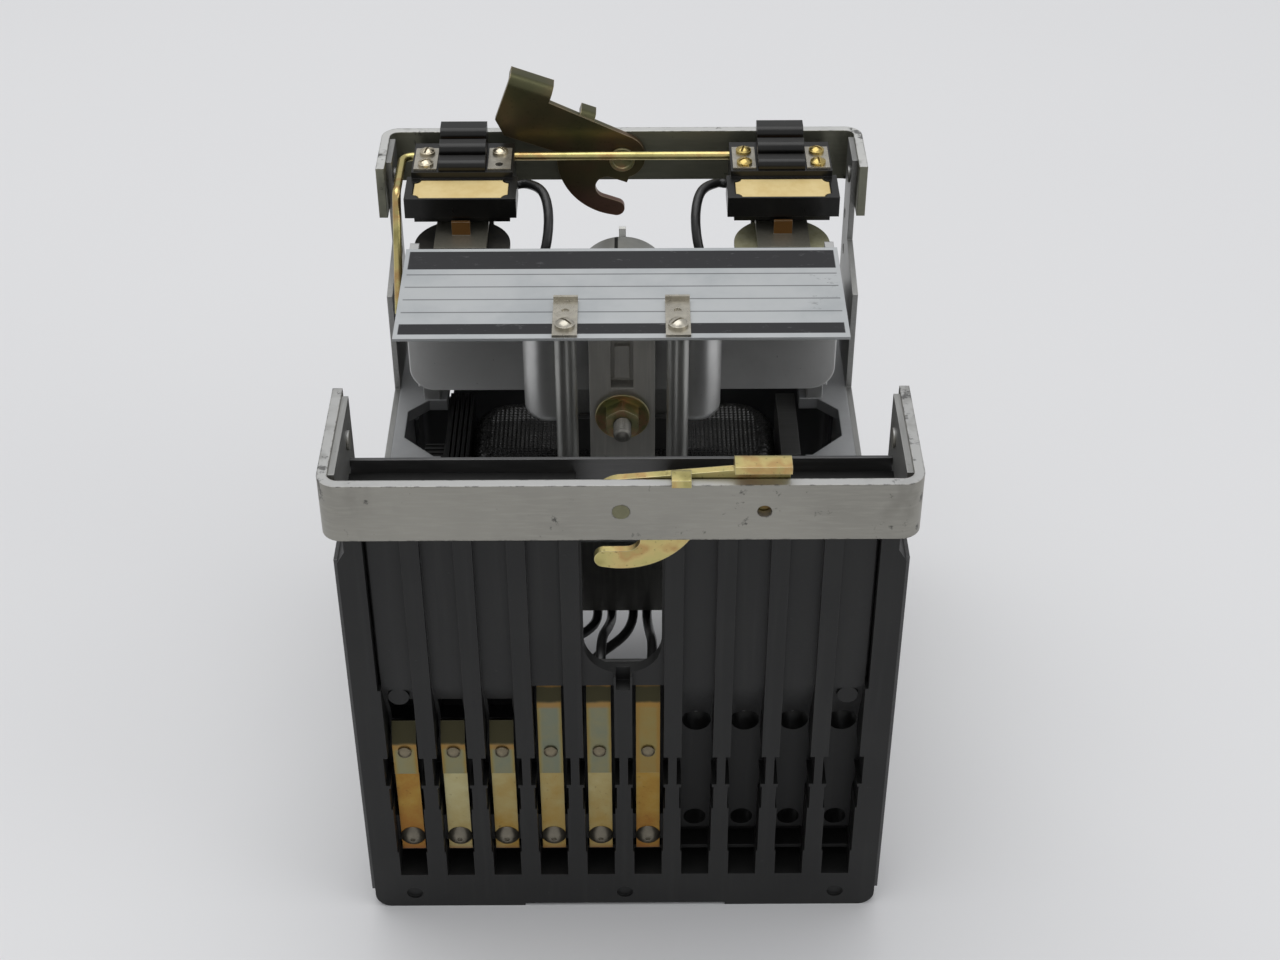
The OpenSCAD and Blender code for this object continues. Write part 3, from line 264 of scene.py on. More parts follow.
def moulding(name, colour, dust, gloss, shine):
    """Black plastic = base + dust on cloudy noise + rubbed edges, with a fine pebble as relief."""
    f = Finish(name, Specular_IOR_Level=shine)
    cloud = f.noise(26, 4)
    streak = f.noise(2.4, 3, stretch=(1, 1, 0.04), seed=5)
    worn = f.edge(0.35) * f.noise(4, 4, seed=9).between(0.40, 0.75)
    speck = f.noise(1.4, 2, seed=3).between(0.72, 0.79)
    paint = f.flat(colour).tint(dust, 0.5 * cloud.between(0.35, 0.8))
    paint = paint.tint(dust, 0.5 * streak.between(0.5, 0.8))
    paint = paint.tint(shade(dust, 3.2), 0.45 * worn + 0.18 * speck)
    return f.set(paint, gloss + 0.16 * cloud - 0.08 * streak, height=f.noise(0.5, 2), depth=0.02, ease=0.25)


block_black = moulding("block_black", (0.010, 0.0100, 0.0100), (0.022, 0.022, 0.021), 0.42, 0.34)
head_black = moulding("head_black", (0.005, 0.0048, 0.0044), (0.014, 0.013, 0.011), 0.26, 0.40)
dress(block_black, "contact_block", "coil_terminal")
dress(head_black, "seal_in_head", "instant_head")
print("dressed", len(dressed))

# %% [markdown]
# The plates, posts and small turned pieces are bare or plated metal. A satin metal is a bright base with
# a fairly high roughness. Brushing is noise stretched along one direction, and wear is a brighter tone
# at the edges with dark scuffs where hands and benches have touched it.

# %% Satin and brushed metals


def satin_metal(name, colour, rough, grain=(1, 1, 1), grain_size=0.6, scuff=0.5, relief=0.02, ease=0.4):
    """Metal = base + stretched grain + bright worn edges + dark scuffs on thresholded noise."""
    f = Finish(name)
    cloud = f.noise(18, 4, seed=2)
    brush = f.noise(grain_size, 3, 0.6, stretch=grain, seed=4)
    scuffs = f.noise(7, 6, 0.7, seed=7).between(0.63, 0.72) * scuff
    worn = f.edge(ease)
    paint = f.flat(colour).tint(shade(colour, 0.72), 0.8 * cloud.between(0.3, 0.8))
    paint = paint.tint(shade(colour, 1.25), 0.5 * brush.between(0.4, 0.75))
    paint = paint.tint((0.045, 0.043, 0.040), scuffs).tint(shade(colour, 1.6), 0.6 * worn)
    gloss = rough + 0.18 * (brush - 0.5) + 0.1 * cloud - 0.1 * worn
    return f.set(paint, gloss, metallic=0.85, height=brush, depth=relief, ease=0.6 * ease)


nickel = satin_metal("nickel", (0.50, 0.47, 0.40), 0.24, grain_size=2.0, scuff=0.2, relief=0.006, ease=0.08)
dull_steel = satin_metal("dull_steel", (0.26, 0.25, 0.225), 0.36, grain_size=0.5, scuff=0.4)
brass = satin_metal("brass", (0.42, 0.30, 0.11), 0.30, grain_size=0.5, scuff=0.3)
dress(nickel, "nameplate_clips", "clip_screws", "seal_in_terminals", "instant_terminals")
dress(dull_steel, "bearing_screw", "rotor_shaft")
dress(brass, "disc_hub", "moving_contact", "upper_bearing", "fixed_contact", "spiral_spring")
dress(satin_metal("plate_satin", (0.30, 0.30, 0.29), 0.42, (1, 0.1, 1), grain_size=0.8, scuff=0.35),
      "left_side_plate", "right_side_plate", "core_strap")
dress(satin_metal("frame_steel", (0.085, 0.080, 0.072), 0.40, grain_size=0.8, scuff=0.4),
      "seal_in_frame", "instant_frame")
dress(satin_metal("bar_brushed", (0.46, 0.45, 0.42), 0.55, (1, 1, 0.04), grain_size=0.7, scuff=0.6),
      "bearing_bracket")
dress(satin_metal("post_turned", (0.42, 0.42, 0.40), 0.31, (1, 1, 0.1), grain_size=1.0, scuff=0.2),
      "nameplate_posts")
dress(satin_metal("rivet_metal", (0.21, 0.19, 0.15), 0.34, grain_size=1.0, scuff=0.9, relief=0.01),
      "finger_rivets")
dress(satin_metal("pivot_metal", (0.19, 0.185, 0.115), 0.34, grain_size=1.0, relief=0.01, ease=0.2),
      "near_pivot")
dress(satin_metal("silver", (0.24, 0.205, 0.14), 0.30, grain_size=0.8, relief=0.01, ease=0.2),
      "finger_buttons")
dress(satin_metal("core_steel", (0.17, 0.17, 0.165), 0.42, (0.03, 1, 0.03), grain_size=0.7, scuff=0.3),
      "core")
dress(satin_metal("disc_metal", (0.50, 0.50, 0.48), 0.32, scuff=0.1), "induction_disc")
dress(satin_metal("magnet_grey", (0.060, 0.062, 0.064), 0.5, scuff=0.2), "drag_magnet")
print("dressed", len(dressed))

# %% [markdown]
# The U straps are sheet aluminium with a warm satin coat. They carry the unit and take its knocks, so
# the dark rubs gather near the bent ends, and their edges are chipped. The far strap's coat is a darker,
# olive copy of the same coat: painted shade for its inner face, which lies in shadow. Faces that look up,
# such as the upper edges, are mixed towards a brighter colour: a painted highlight where the light falls.

# %% Straps and bracket


def strap_coat(name, colour, painted_top_highlight, end):
    """Coat = warm base + painted highlight on faces that look up + rubs that thicken towards |x| = end + dark
    chips on the edges.
    """
    f = Finish(name)
    cloud = f.noise(30, 4, seed=2)
    brush = f.noise(0.9, 3, 0.6, stretch=(0.12, 0.12, 1), seed=4)
    near_end = abs(f.x).between(0.55 * end, end)
    rub = f.noise(5, 5, 0.68, stretch=(1, 1, 0.8), seed=7)
    rub = (rub + 0.07 * near_end).between(0.64, 0.72)
    smudge = near_end * f.noise(8, 3, 0.5, stretch=(1, 1, 0.6), seed=31).between(0.52, 0.72)
    chip = f.edge(0.7) * f.noise(3.2, 4, 0.7, seed=12).between(0.47, 0.60)
    scratch = f.noise(1.6, 5, 0.75, stretch=(0.25, 0.25, 1), seed=15).between(0.70, 0.76)
    paint = f.flat(colour).tint(shade(colour, 0.80), 0.8 * cloud.between(0.3, 0.8))
    paint = paint.tint(shade(colour, 1.18), 0.45 * brush.between(0.4, 0.75))
    # Faces that look up are mixed towards a brighter colour: a painted highlight, not a bare coat.
    paint = paint.tint(painted_top_highlight, f.upward().between(0.5, 0.9))
    paint = paint.tint(shade(colour, 1.5), 0.55 * f.edge(0.4)).tint(shade(colour, 0.4), 0.5 * smudge)
    paint = paint.tint((0.035, 0.034, 0.033), 0.75 * rub + 0.45 * scratch)
    paint = paint.tint((0.05, 0.048, 0.045), 0.85 * chip)
    gloss = 0.40 + 0.16 * (brush - 0.5) + 0.1 * cloud
    return f.set(paint, gloss, metallic=0.75, height=brush, depth=0.02, ease=0.4)


NEAR_END, FAR_END = 78, 68
near_coat = strap_coat("near_coat", (0.34, 0.330, 0.295), (0.44, 0.44, 0.43), NEAR_END)
# The far strap's coat is the near coat made darker and olive, as painted shade for its shadowed inner face;
# its much brighter top colour is a painted highlight.
far_coat_painted_shade = strap_coat("far_coat_painted_shade", (0.225, 0.225, 0.175), (0.62, 0.62, 0.60), FAR_END)
dress(near_coat, "near_strap", "strap_rivets")
dress(far_coat_painted_shade, "far_strap")
dress(satin_metal("bracket_steel", (0.10, 0.10, 0.10), 0.34, (0.1, 1, 1), grain_size=0.9, scuff=0.4),
      "block_bracket")
print("dressed", len(dressed))

# %% [markdown]
# Yellow chromate on zinc is thin enough to show interference colours: the same plate runs from olive
# to gold to rose. A slow noise picks the place along that colour run, and dark flecks sit where the
# plating has broken. The far latch runs through darker olive tones, which turn rose at the end of its hook.

# %% Yellow chromate


def chromate(name, run, fleck_colour, bright, rough, dark, size=9.0, rose=None):
    """Colour = a run of interference tones at a slow noise, darkened by flecks, bright on the edges.

    rose gives two heights, and the film turns rose from the first to the second.
    """
    f = Finish(name)
    film = f.noise(size, 3, 0.5, seed=11)
    fleck = f.noise(1.2, 3, 0.6, seed=6).between(0.60, 0.72)
    tone = film.ramp(*zip((0.28, 0.42, 0.52, 0.60, 0.72), run))
    if rose:
        tone = tone.tint((0.20, 0.105, 0.085), 0.8 * f.z.between(*rose))
    tone = tone.tint(fleck_colour, dark * fleck).tint(bright, 0.75 * f.edge(0.35))
    gloss = rough + 0.12 * (film - 0.5)
    return f.set(tone, gloss, metallic=0.9, height=f.noise(0.6, 2), depth=0.015, ease=0.3)


GOLD_RUN = ((0.32, 0.28, 0.10), (0.56, 0.49, 0.20), (0.62, 0.50, 0.21), (0.52, 0.34, 0.14),
            (0.48, 0.43, 0.17))
OLIVE_RUN = ((0.085, 0.086, 0.045), (0.100, 0.098, 0.050), (0.135, 0.112, 0.058), (0.160, 0.105, 0.062),
             (0.105, 0.098, 0.048))
CUP_RUN = [shade(colour, 3.4) for colour in OLIVE_RUN]
ROSE_FROM, ROSE_TO = 143, 133
dress(chromate("gold_film", GOLD_RUN, (0.09, 0.05, 0.015), (0.66, 0.60, 0.38), 0.32, 0.5), "near_latch")
dress(chromate("wire_film", GOLD_RUN, (0.10, 0.08, 0.02), (0.60, 0.55, 0.28), 0.22, 0.2), "reset_rod")
dress(chromate("cup_film", CUP_RUN, (0.05, 0.05, 0.025), (0.60, 0.58, 0.36), 0.36, 0.4, size=5),
      "cup_washer", "lock_nut", "far_pivot")
dress(chromate("olive_film", OLIVE_RUN, (0.030, 0.026, 0.014), (0.56, 0.44, 0.30), 0.36, 0.3, size=24,
               rose=(ROSE_FROM, ROSE_TO)), "far_latch")
print("dressed", len(dressed))

# %% [markdown]
# The finger contacts carry thin plating over brass that has tarnished with heat, and each one differently.
# One number per contact says how warm it has been: the formulas mix pale cream towards orange-brown by
# it. The upper plates are greenish, gold along their sides and dark olive where they bend back.

# %% Finger contacts
PITCH, WAYS = 12.7, 10
LEAF_WARMTH = (0.85, 0.08, 0.38, 0.42, 0.30, 0.72)
PLATE_WARMTH = (0.35, 0.20, 0.10, 0.05, 0.15, 0.70)
LEAF_HALF = 3.15
WARM_HEIGHTS, RED_HEIGHTS = (42, 22), (20.5, 17.5)
corners = np.empty(3 * len(nodes["finger_tips"].data.vertices), np.float32)
nodes["finger_tips"].data.vertices.foreach_get("co", corners)
corners = corners.reshape(-1, 3) / MM
long_top = corners[:, 2].max()
short_top = corners[corners[:, 0] < -2 * PITCH, 2].max()
print("plates reach", round(float(short_top), 1), "and", round(float(long_top), 1), "mm")


def by_way(f, values):
    """One number for each contact way, as steps across X."""
    stops = [(i / WAYS, (v, v, v)) for i, v in enumerate(values)]
    across = f.x / (WAYS * PITCH) + 0.5
    return f.at.node("ShaderNodeValToRGB", {"stops": stops, "steps": True}, {"Fac": across})


def off_middle(f):
    """How far from the middle of its own way a point lies: 0 in the middle, 1 at the leaf's side."""
    way = f.x / PITCH
    return abs(way.math("FRACT", way) - 0.5) * (PITCH / LEAF_HALF)


def lower_leaf():
    """Colour = cream to orange-brown by the contact's warmth, the height and a noise; red at the foot."""
    f = Finish("lower_leaf")
    cloud = f.noise(7, 4, 0.6, seed=3)
    heat = f.z.between(*WARM_HEIGHTS) * f.noise(11, 2, seed=1)
    warmth = by_way(f, LEAF_WARMTH) + 0.45 * heat + 0.9 * (cloud - 0.5)
    tone = warmth.ramp((0.0, (0.53, 0.48, 0.255)), (0.35, (0.45, 0.355, 0.145)), (0.75, (0.42, 0.255, 0.050)),
                       (1.0, (0.36, 0.165, 0.030)))
    tone = tone.tint((0.30, 0.10, 0.06), 0.7 * f.z.between(*RED_HEIGHTS))
    stain = f.noise(2.2, 5, 0.7, seed=8).between(0.60, 0.72)
    tone = tone.tint((0.10, 0.055, 0.02), 0.55 * stain).tint((0.55, 0.50, 0.33), 0.45 * f.edge(0.25))
    return f.set(tone, 0.36 + 0.2 * (cloud - 0.5), 0.7, f.noise(0.5, 2, stretch=(1, 1, 0.2)), 0.012, 0.15)


def upper_plate():
    """Colour = greenish cream, gold towards the sides, then bands by the distance below the plate's top."""
    f = Finish("upper_plate")
    cloud = f.noise(6, 4, 0.6, seed=8)
    top = by_way(f, [0, 0, 0, 1, 1, 1]) * (long_top - short_top) + short_top
    down = top - f.z + 1.2 * (cloud - 0.5)
    warmth = by_way(f, PLATE_WARMTH) + 0.7 * off_middle(f).between(0.55, 1.05) + 0.7 * (cloud - 0.5)
    tone = warmth.ramp((0.0, (0.205, 0.22, 0.155)), (0.25, (0.26, 0.245, 0.135)), (0.6, (0.29, 0.235, 0.085)),
                       (1.0, (0.33, 0.20, 0.05)))
    tone = tone.tint((0.36, 0.19, 0.04), 0.75 * down.stripe(6.2, 0.5, 1.2))
    tone = tone.tint((0.052, 0.046, 0.020), down.between(6.0, 5.0))
    tone = tone.tint((0.34, 0.17, 0.035), by_way(f, [0, 0, 0, 0.7, 1, 0.5]) * down.between(2.2, 1.4))
    tone = tone.tint((0.55, 0.52, 0.38), 0.4 * f.edge(0.25))
    return f.set(tone, 0.34 + 0.2 * (cloud - 0.5), 0.7, f.noise(0.5, 2, stretch=(1, 1, 0.2)), 0.012, 0.15)


dress(lower_leaf(), "short_fingers", "long_fingers")
dress(upper_plate(), "finger_tips")
print("dressed", len(dressed))

# %% [markdown]
# The frame is a grey casting: slightly rough, even in tone, with brighter edges where it was fettled.
# The hood over the disc is smoother and more metallic, so that it mirrors its surroundings softly.

# %% Castings


def casting(name, colour, rough, pebble, relief, metallic):
    """Cast grey = even tone + slow clouds + bright edges, with a pebble of that many millimetres."""
    f = Finish(name)
    cloud = f.noise(22, 4, seed=1)
    bumps = f.noise(pebble, 3, 0.6)
    pit = f.noise(1.1, 2, seed=8).between(0.72, 0.78)
    chip = f.edge(0.6) * f.noise(3, 4, 0.7, seed=21).between(0.60, 0.70)
    paint = f.flat(colour).tint(shade(colour, 0.7), 0.7 * cloud.between(0.35, 0.8))
    paint = paint.tint((0.03, 0.03, 0.03), 0.4 * pit).tint(shade(colour, 1.5), 0.5 * f.edge(0.5))
    paint = paint.tint((0.05, 0.05, 0.05), 0.8 * chip)
    return f.set(paint, rough + 0.15 * (cloud - 0.5), metallic, bumps, relief, ease=0.5)


dress(casting("cast_grey", (0.34, 0.345, 0.35), 0.44, 0.7, 0.04, 0.55), "cast_frame")
dress(casting("hood_grey", (0.62, 0.62, 0.61), 0.36, 5.0, 0.05, 0.80), "housing")
print("dressed", len(dressed))

# %% [markdown]
# The nameplate is a thin etched sheet: pale metal with a dark band along each long edge and thin rules
# between them. They are stripes of the Y coordinate, so no picture is needed. Scratches on a stretched
# noise gather at its right end.

# %% Nameplate
name_low, name_high = (c.y / MM - FACE_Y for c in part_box("nameplate"))
name_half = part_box("nameplate")[1].x / MM
RULES = (0.28, 0.42, 0.56, 0.70)
FAR_BAND, NEAR_BAND = (0.865, 0.100), (0.100, 0.052)
BORDER = 1.0

f = Finish("etched_sheet")
along = (f.y - name_low) / (name_high - name_low)
inset = abs(f.x).between(name_half - BORDER, name_half - BORDER - 0.3)
bands = along.stripe(*FAR_BAND, 0.006) + along.stripe(*NEAR_BAND, 0.006)
rules = sum(along.stripe(place, 0.004, 0.004) for place in RULES)
cloud = f.noise(20, 4)
scratch = f.noise(1.4, 5, 0.75, stretch=(0.35, 1, 1), seed=4).between(0.60, 0.68)
marks = scratch * f.x.between(name_half - 14, name_half - 5) * along.stripe(0.50, 0.18, 0.10)
paint = f.flat((0.47, 0.485, 0.49)).tint((0.38, 0.40, 0.41), cloud.between(0.35, 0.75))
paint = paint.tint((0.012, 0.012, 0.014), inset * bands + 0.6 * inset * rules)
paint = paint.tint((0.05, 0.05, 0.05), 0.8 * marks).tint((0.55, 0.56, 0.56), 0.12 * scratch)
brush = f.noise(0.5, 2, stretch=(0.1, 1, 1))
dress(f.set(paint, 0.40 + 0.1 * cloud, metallic=0.35, height=brush, depth=0.01, ease=0.2), "nameplate")
print("bands over", round(name_high - name_low, 1), "mm")

# %% [markdown]
# The name cards of the target units are cream card, browned at the edges. The flags, bobbins, leads and
# windings are fibre, paint and insulation: two tones mixed by one noise, which is also their relief, is
# enough for each of them. An armature is a steel plate under a brown tongue, so its finish changes with
# the height. The screws are nickel on the left unit and brass on the right, mixed by X.

# %% Cards, fibre, paint and screws


def plain(name, colour, second, rough, size, depth):
    """Two tones mixed by a noise, with the same noise as relief: card, fibre, paint or rubber."""
    f = Finish(name)
    grain = f.noise(size, 4, 0.6)
    tone = f.flat(colour).tint(second, grain.between(0.3, 0.75)).tint(shade(second, 0.4), 0.6 * f.edge(0.5))
    return f.set(tone, rough + 0.2 * (grain - 0.5), None, grain, depth, 0.2)


dress(plain("cream_card", (0.72, 0.57, 0.27), (0.64, 0.48, 0.20), 0.55, 5, 0.01),
      "seal_in_label", "instant_label")
dress(plain("fibre_dark", (0.030, 0.029, 0.027), (0.05, 0.046, 0.038), 0.5, 2, 0.03), "seal_in_bobbin")
dress(plain("fibre_cream", (0.36, 0.35, 0.23), (0.27, 0.255, 0.15), 0.45, 3, 0.03), "instant_bobbin")
dress(plain("flag_brown", (0.25, 0.11, 0.03), (0.17, 0.07, 0.02), 0.4, 2, 0.02),
      "seal_in_flag", "instant_flag")
dress(plain("pointer_paint", (0.86, 0.86, 0.82), (0.78, 0.78, 0.74), 0.45, 2, 0.02), "dial_pointer")
dress(plain("lead_black", (0.010, 0.010, 0.010), (0.018, 0.018, 0.018), 0.34, 3, 0.03),
      "block_leads", "target_leads")
dress(plain("winding_tape", (0.012, 0.012, 0.012), (0.022, 0.020, 0.018), 0.5, 1.2, 0.15),
      "seal_in_winding", "instant_winding")

ARMATURE_T = 1.6
f = Finish("armature_metal")
grain = f.noise(0.8, 3)
plate_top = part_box("seal_in_armature")[0].z / MM + ARMATURE_T
tongue = f.z.between(plate_top, plate_top + 0.2)
paint = f.flat((0.25, 0.24, 0.195)).tint((0.18, 0.17, 0.14), grain).tint((0.25, 0.12, 0.035), tongue)
paint = paint.tint((0.5, 0.47, 0.38), 0.6 * f.edge(0.2))
dress(f.set(paint, 0.36, metallic=0.7, height=grain, depth=0.01, ease=0.1),
      "seal_in_armature", "instant_armature")

f = Finish("target_screw_metal")
grain = f.noise(0.6, 3)
right = f.x.between(-5, 5)
paint = f.flat((0.56, 0.50, 0.38)).tint((0.50, 0.38, 0.13), right)
paint = paint.tint((0.12, 0.09, 0.04), 0.7 * grain.between(0.6, 0.75))
dress(f.set(paint, 0.22 + 0.2 * (grain - 0.5), 0.9, grain, 0.01, 0.15), "target_screws")
print("dressed", len(dressed))

# %% [markdown]
# The time dial turns behind the nameplate. Its rim is smooth apart from one dark index line, and the scale
# is on its face: plain marks by the angle round the shaft, ten long ones and short ones between them.

# %% Time dial
dial_low, dial_high = (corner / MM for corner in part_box("time_dial"))
dial_z = next(j["pos_m"][2] for j in frame["joints"] if j["name"] == "time_dial_turn") / MM
dial_r = (dial_high.z - dial_low.z) / 2
TENTHS = 10
LONG_MARK, SHORT_MARK = 0.035, 0.14
INDEX_X = -1.8

f = Finish("dial_metal")
turn = f.x.math("ARCTAN2", f.x, f.z - dial_z) / (2 * pi)
square = f.x * f.x + (f.z - dial_z) * (f.z - dial_z)
out = square.math("SQRT", square) / dial_r
tenth, fiftieth = (abs((turn * n).math("FRACT", turn * n) - 0.5).between(0.5 - w, 0.5 - 0.8 * w)
                   for n, w in ((TENTHS, LONG_MARK), (5 * TENTHS, SHORT_MARK)))
marks = tenth * out.stripe(0.84, 0.10, 0.01) + fiftieth * out.stripe(0.89, 0.05, 0.01)
rim_top = f.z.between(dial_z, dial_z + 1) * out.between(0.95, 0.97)
marks = marks + f.x.stripe(INDEX_X, 0.4, 0.2) * rim_top
cloud = f.noise(8, 4)
paint = f.flat((0.36, 0.36, 0.34)).tint((0.27, 0.27, 0.255), cloud.between(0.3, 0.8))
paint = paint.tint((0.015, 0.015, 0.015), marks).tint((0.60, 0.60, 0.58), 0.5 * f.edge(0.3))
dress(f.set(paint, 0.36 + 0.1 * cloud, 0.5, f.noise(0.6, 2), 0.01, 0.2), "time_dial")
print("dial marks every", 360 / TENTHS / 5, "degrees")

# %% [markdown]
# Four pieces need more than a finish. Each is a grid of points, worked out as whole arrays, and the mesh
# joins the neighbours with quads. Points that fall together, as at a pole, are merged, and the faces are
# turned outwards.

# %% A grid of points as a mesh


def surface(name, points, material, wrap, stands_for=None):
    """Quads between the neighbours of a (rows, columns, xyz) grid in millimetres; wrap joins its ends."""
    index = np.arange(points.shape[0] * points.shape[1]).reshape(points.shape[:2])
    index = np.pad(index, [(0, int(joined)) for joined in wrap], mode="wrap")
    quads = np.stack([index[:-1, :-1], index[1:, :-1], index[1:, 1:], index[:-1, 1:]], axis=-1)
    mesh = bpy.data.meshes.new(name)
    mesh.from_pydata((points.reshape(-1, 3) * MM).tolist(), [], quads.reshape(-1, 4).tolist())
    shape = bmesh.new()
    shape.from_mesh(mesh)
    bmesh.ops.remove_doubles(shape, verts=shape.verts, dist=1e-7)
    bmesh.ops.recalc_face_normals(shape, faces=shape.faces)
    shape.to_mesh(mesh)
    shape.free()
    mesh.polygons.foreach_set("use_smooth", np.ones(len(mesh.polygons), bool))
    mesh.materials.append(material)
    made = bpy.data.objects.new(name, mesh)
    scene.collection.objects.link(made)
    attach(made, "cradle")
    if stands_for:
        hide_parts(stands_for)
        dressed.add(stands_for)
    print(name, "has", len(mesh.polygons), "faces")
    return made


# %% [markdown]
# The main coil is wrapped in a black cotton tape whose crossings stand up as rows of dots. A bump map
# would do from far away, but the coil shows through the frame's windows, so the dots are real. The ring
# is a profile carried round the pole: up the inner wall, across the top, over a rounded edge and down
# the outer wall. Round the plan, an angle turns through each corner while a centre moves along each side.

# %% Taped coil
coil_low, coil_high = (np.array(corner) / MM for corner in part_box("main_coil"))
coil_mid = (coil_low + coil_high) / 2
OUTER = (coil_high - coil_low)[:2] / 2
INNER = np.array([16.8, 8.0])
CORNER, INNER_CORNER, EDGE = 12.0, 0.4, 5.0
WEAVE, DOT = 1.25, 0.42
LIP, WALL_DOWN, DOTS_DOWN = 2.0, 20.0, 18.0
AROUND, TOP_ROWS, EDGE_ROWS, WALL_ROWS, FOOT_ROWS = 600, 63, 21, 40, 6


def plan_knots(half, corner):
    """Distances along a rounded rectangle at which its arcs and sides begin, starting on the right."""
    arc, (run_x, run_y) = pi / 2 * corner, 2 * (np.asarray(half) - corner)
    return np.cumsum([0, arc, run_x, arc, run_y, arc, run_x, arc, run_y])


def plan(half, corner, knots, along):
    """Rounded rectangle: centre + corner·(cos, sin); angle and centre step in turn between the knots."""
    angle = np.interp(along, knots, np.radians([0, 90, 90, 180, 180, 270, 270, 360, 360]))
    side_x = np.interp(along, knots, [1, 1, -1, -1, -1, -1, 1, 1, 1]) * (half[0] - corner)
    side_y = np.interp(along, knots, [1, 1, 1, 1, -1, -1, -1, -1, 1]) * (half[1] - corner)
    outward = np.stack([np.cos(angle), np.sin(angle)], axis=-1)
    return np.stack([side_x, side_y], axis=-1) + corner * outward, outward


def stretch(count, *values):
    """One stretch of the profile: each value as a row of that many points."""
    return np.stack([np.broadcast_to(value, count) for value in values])


def taped_coil():
    """Point = inner + w·(shoulder - inner) + out·normal, raised by dots = product of two sine waves.

    Each stretch of the profile gives w, out, the height, and how far its dots point outwards and upwards.
    """
    knots = plan_knots(OUTER, CORNER)
    along = np.linspace(0, knots[-1], AROUND, endpoint=False)
    outer, outward = plan(OUTER, CORNER, knots, along)
    inner, _ = plan(INNER, INNER_CORNER, knots, along)
    shoulder = outer - EDGE * outward

    low, high = coil_low[2], coil_high[2]
    top = np.linspace(0, 1, TOP_ROWS + 1)[1:]
    bend = np.linspace(0, pi / 2, EDGE_ROWS + 1)[1:]
    wall = np.linspace(high - EDGE, high - WALL_DOWN, WALL_ROWS)
    foot = np.linspace(0, pi / 2, FOOT_ROWS)
    sin, cos = np.sin(bend), np.cos(bend)
    across, out, up, lean, rise = np.concatenate([
        stretch(1, 0, 0, low, 0, 0),
        stretch(1, 0, 0, high - LIP, 0, 0),
        stretch(TOP_ROWS, top, 0, high, 0, 1),
        stretch(EDGE_ROWS, 1, EDGE * sin, high - EDGE * (1 - cos), sin, cos),
        stretch(WALL_ROWS, 1, EDGE, wall, 1, 0),
        stretch(FOOT_ROWS, 1, EDGE * np.cos(foot), low + EDGE * (1 - np.sin(foot)), 1, 0),
        stretch(1, 0.5, 0, low, 0, 0)], axis=1)

    flat = inner[:, None] + across[None, :, None] * (shoulder - inner)[:, None]
    flat = flat + out[None, :, None] * outward[:, None]
    first = (1 - lean) * flat[..., 0] + lean * along[:, None]
    second = (1 - lean) * flat[..., 1] + lean * up
    dots = DOT * np.abs(np.sin(pi * first / WEAVE) * np.sin(pi * second / WEAVE)) * np.maximum(lean, rise)
    dots[:, up < high - DOTS_DOWN] = 0
    plan_xy = flat + (dots * lean)[..., None] * outward[:, None] + coil_mid[:2]
    return np.concatenate([plan_xy, (up + dots * rise)[..., None]], axis=-1)


f = Finish("woven_tape", Specular_IOR_Level=0.6)
fibre = f.noise(0.35, 3)
paint = f.flat((0.010, 0.010, 0.010)).tint((0.026, 0.025, 0.023), fibre.between(0.35, 0.8))
woven_tape = f.set(paint, 0.16 + 0.25 * fibre, None, fibre, 0.03)
surface("coil_tape", taped_coil(), woven_tape, (True, True), "main_coil")

# %% [markdown]
# Under its flange the frame has thin walls that close the coil's space in front and behind. They show
# through the block's centre slot and the frame's windows. Each is a strip along one side of a rounded
# rectangle whose ends turn back round the corners: a path of points in plan, pushed in by the wall's
# thickness and carried from its lower edge to its upper one. The rear wall has a notch at the left, where
# light comes through. Corners sharper than a set angle are split, so that only the round faces look round.

# %% Front apron and rear wall
frame_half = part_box("cast_frame")[1].x / MM
bar_low = np.array(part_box("bearing_bracket")[0]) / MM
SKIRT, FLANGE_UNDER, WALL, TURN, RETURN = 2.8, 88.4, 1.2, 3.0, 9.0
NOTCH_X, NOTCH_Z, NOTCH_SOFT = -50.5, 78.5, 1.0
GAP, DEPTH, PATH_POINTS = 0.1, 15.0, 240
SHARP = radians(28)
wall_top = FLANGE_UNDER - GAP


def strip_wall(half, y_mid, side, low, top):
    """Strip = path in plan, its copy one thickness inwards, and the two edges; each end closes on a point.

    Knots 0 to 3 bound the rear side with its two corners, and knots 4 to 7 the front one.
    """
    knots = plan_knots(half, TURN)
    first, last = (0, 3) if side == "rear" else (4, 7)
    along = np.linspace(knots[first] - RETURN, knots[last] + RETURN, PATH_POINTS)
    outer, outward = plan(half, TURN, knots, np.mod(along, knots[-1]))
    inner = outer - WALL * outward
    upper = np.broadcast_to(top(outer[:, 0]), len(along))
    lower = np.full(len(along), low)
    ring = np.stack([np.column_stack([outer, lower]), np.column_stack([outer, upper]),
                     np.column_stack([inner, upper]), np.column_stack([inner, lower])], axis=1)
    ends = ring[[0, -1]].mean(axis=1, keepdims=True).repeat(4, axis=1)
    return np.concatenate([ends[:1], ring, ends[1:]]) + np.array([0, y_mid, 0])


def notched(x):
    """Under the flange on the right, lower on the left of the notch, with a short slope between."""
    return np.interp(x, [NOTCH_X - NOTCH_SOFT, NOTCH_X], [NOTCH_Z, wall_top])


APRON_HALF = np.array([36.0, DEPTH])
REAR_HALF = np.array([frame_half - SKIRT - GAP, DEPTH])
REAR_Y = 59.2
apron_y = bar_low[1] - GAP - WALL + DEPTH
apron_steel = satin_metal("apron_steel", (0.34, 0.335, 0.32), 0.36, (1, 1, 0.05), grain_size=0.7)
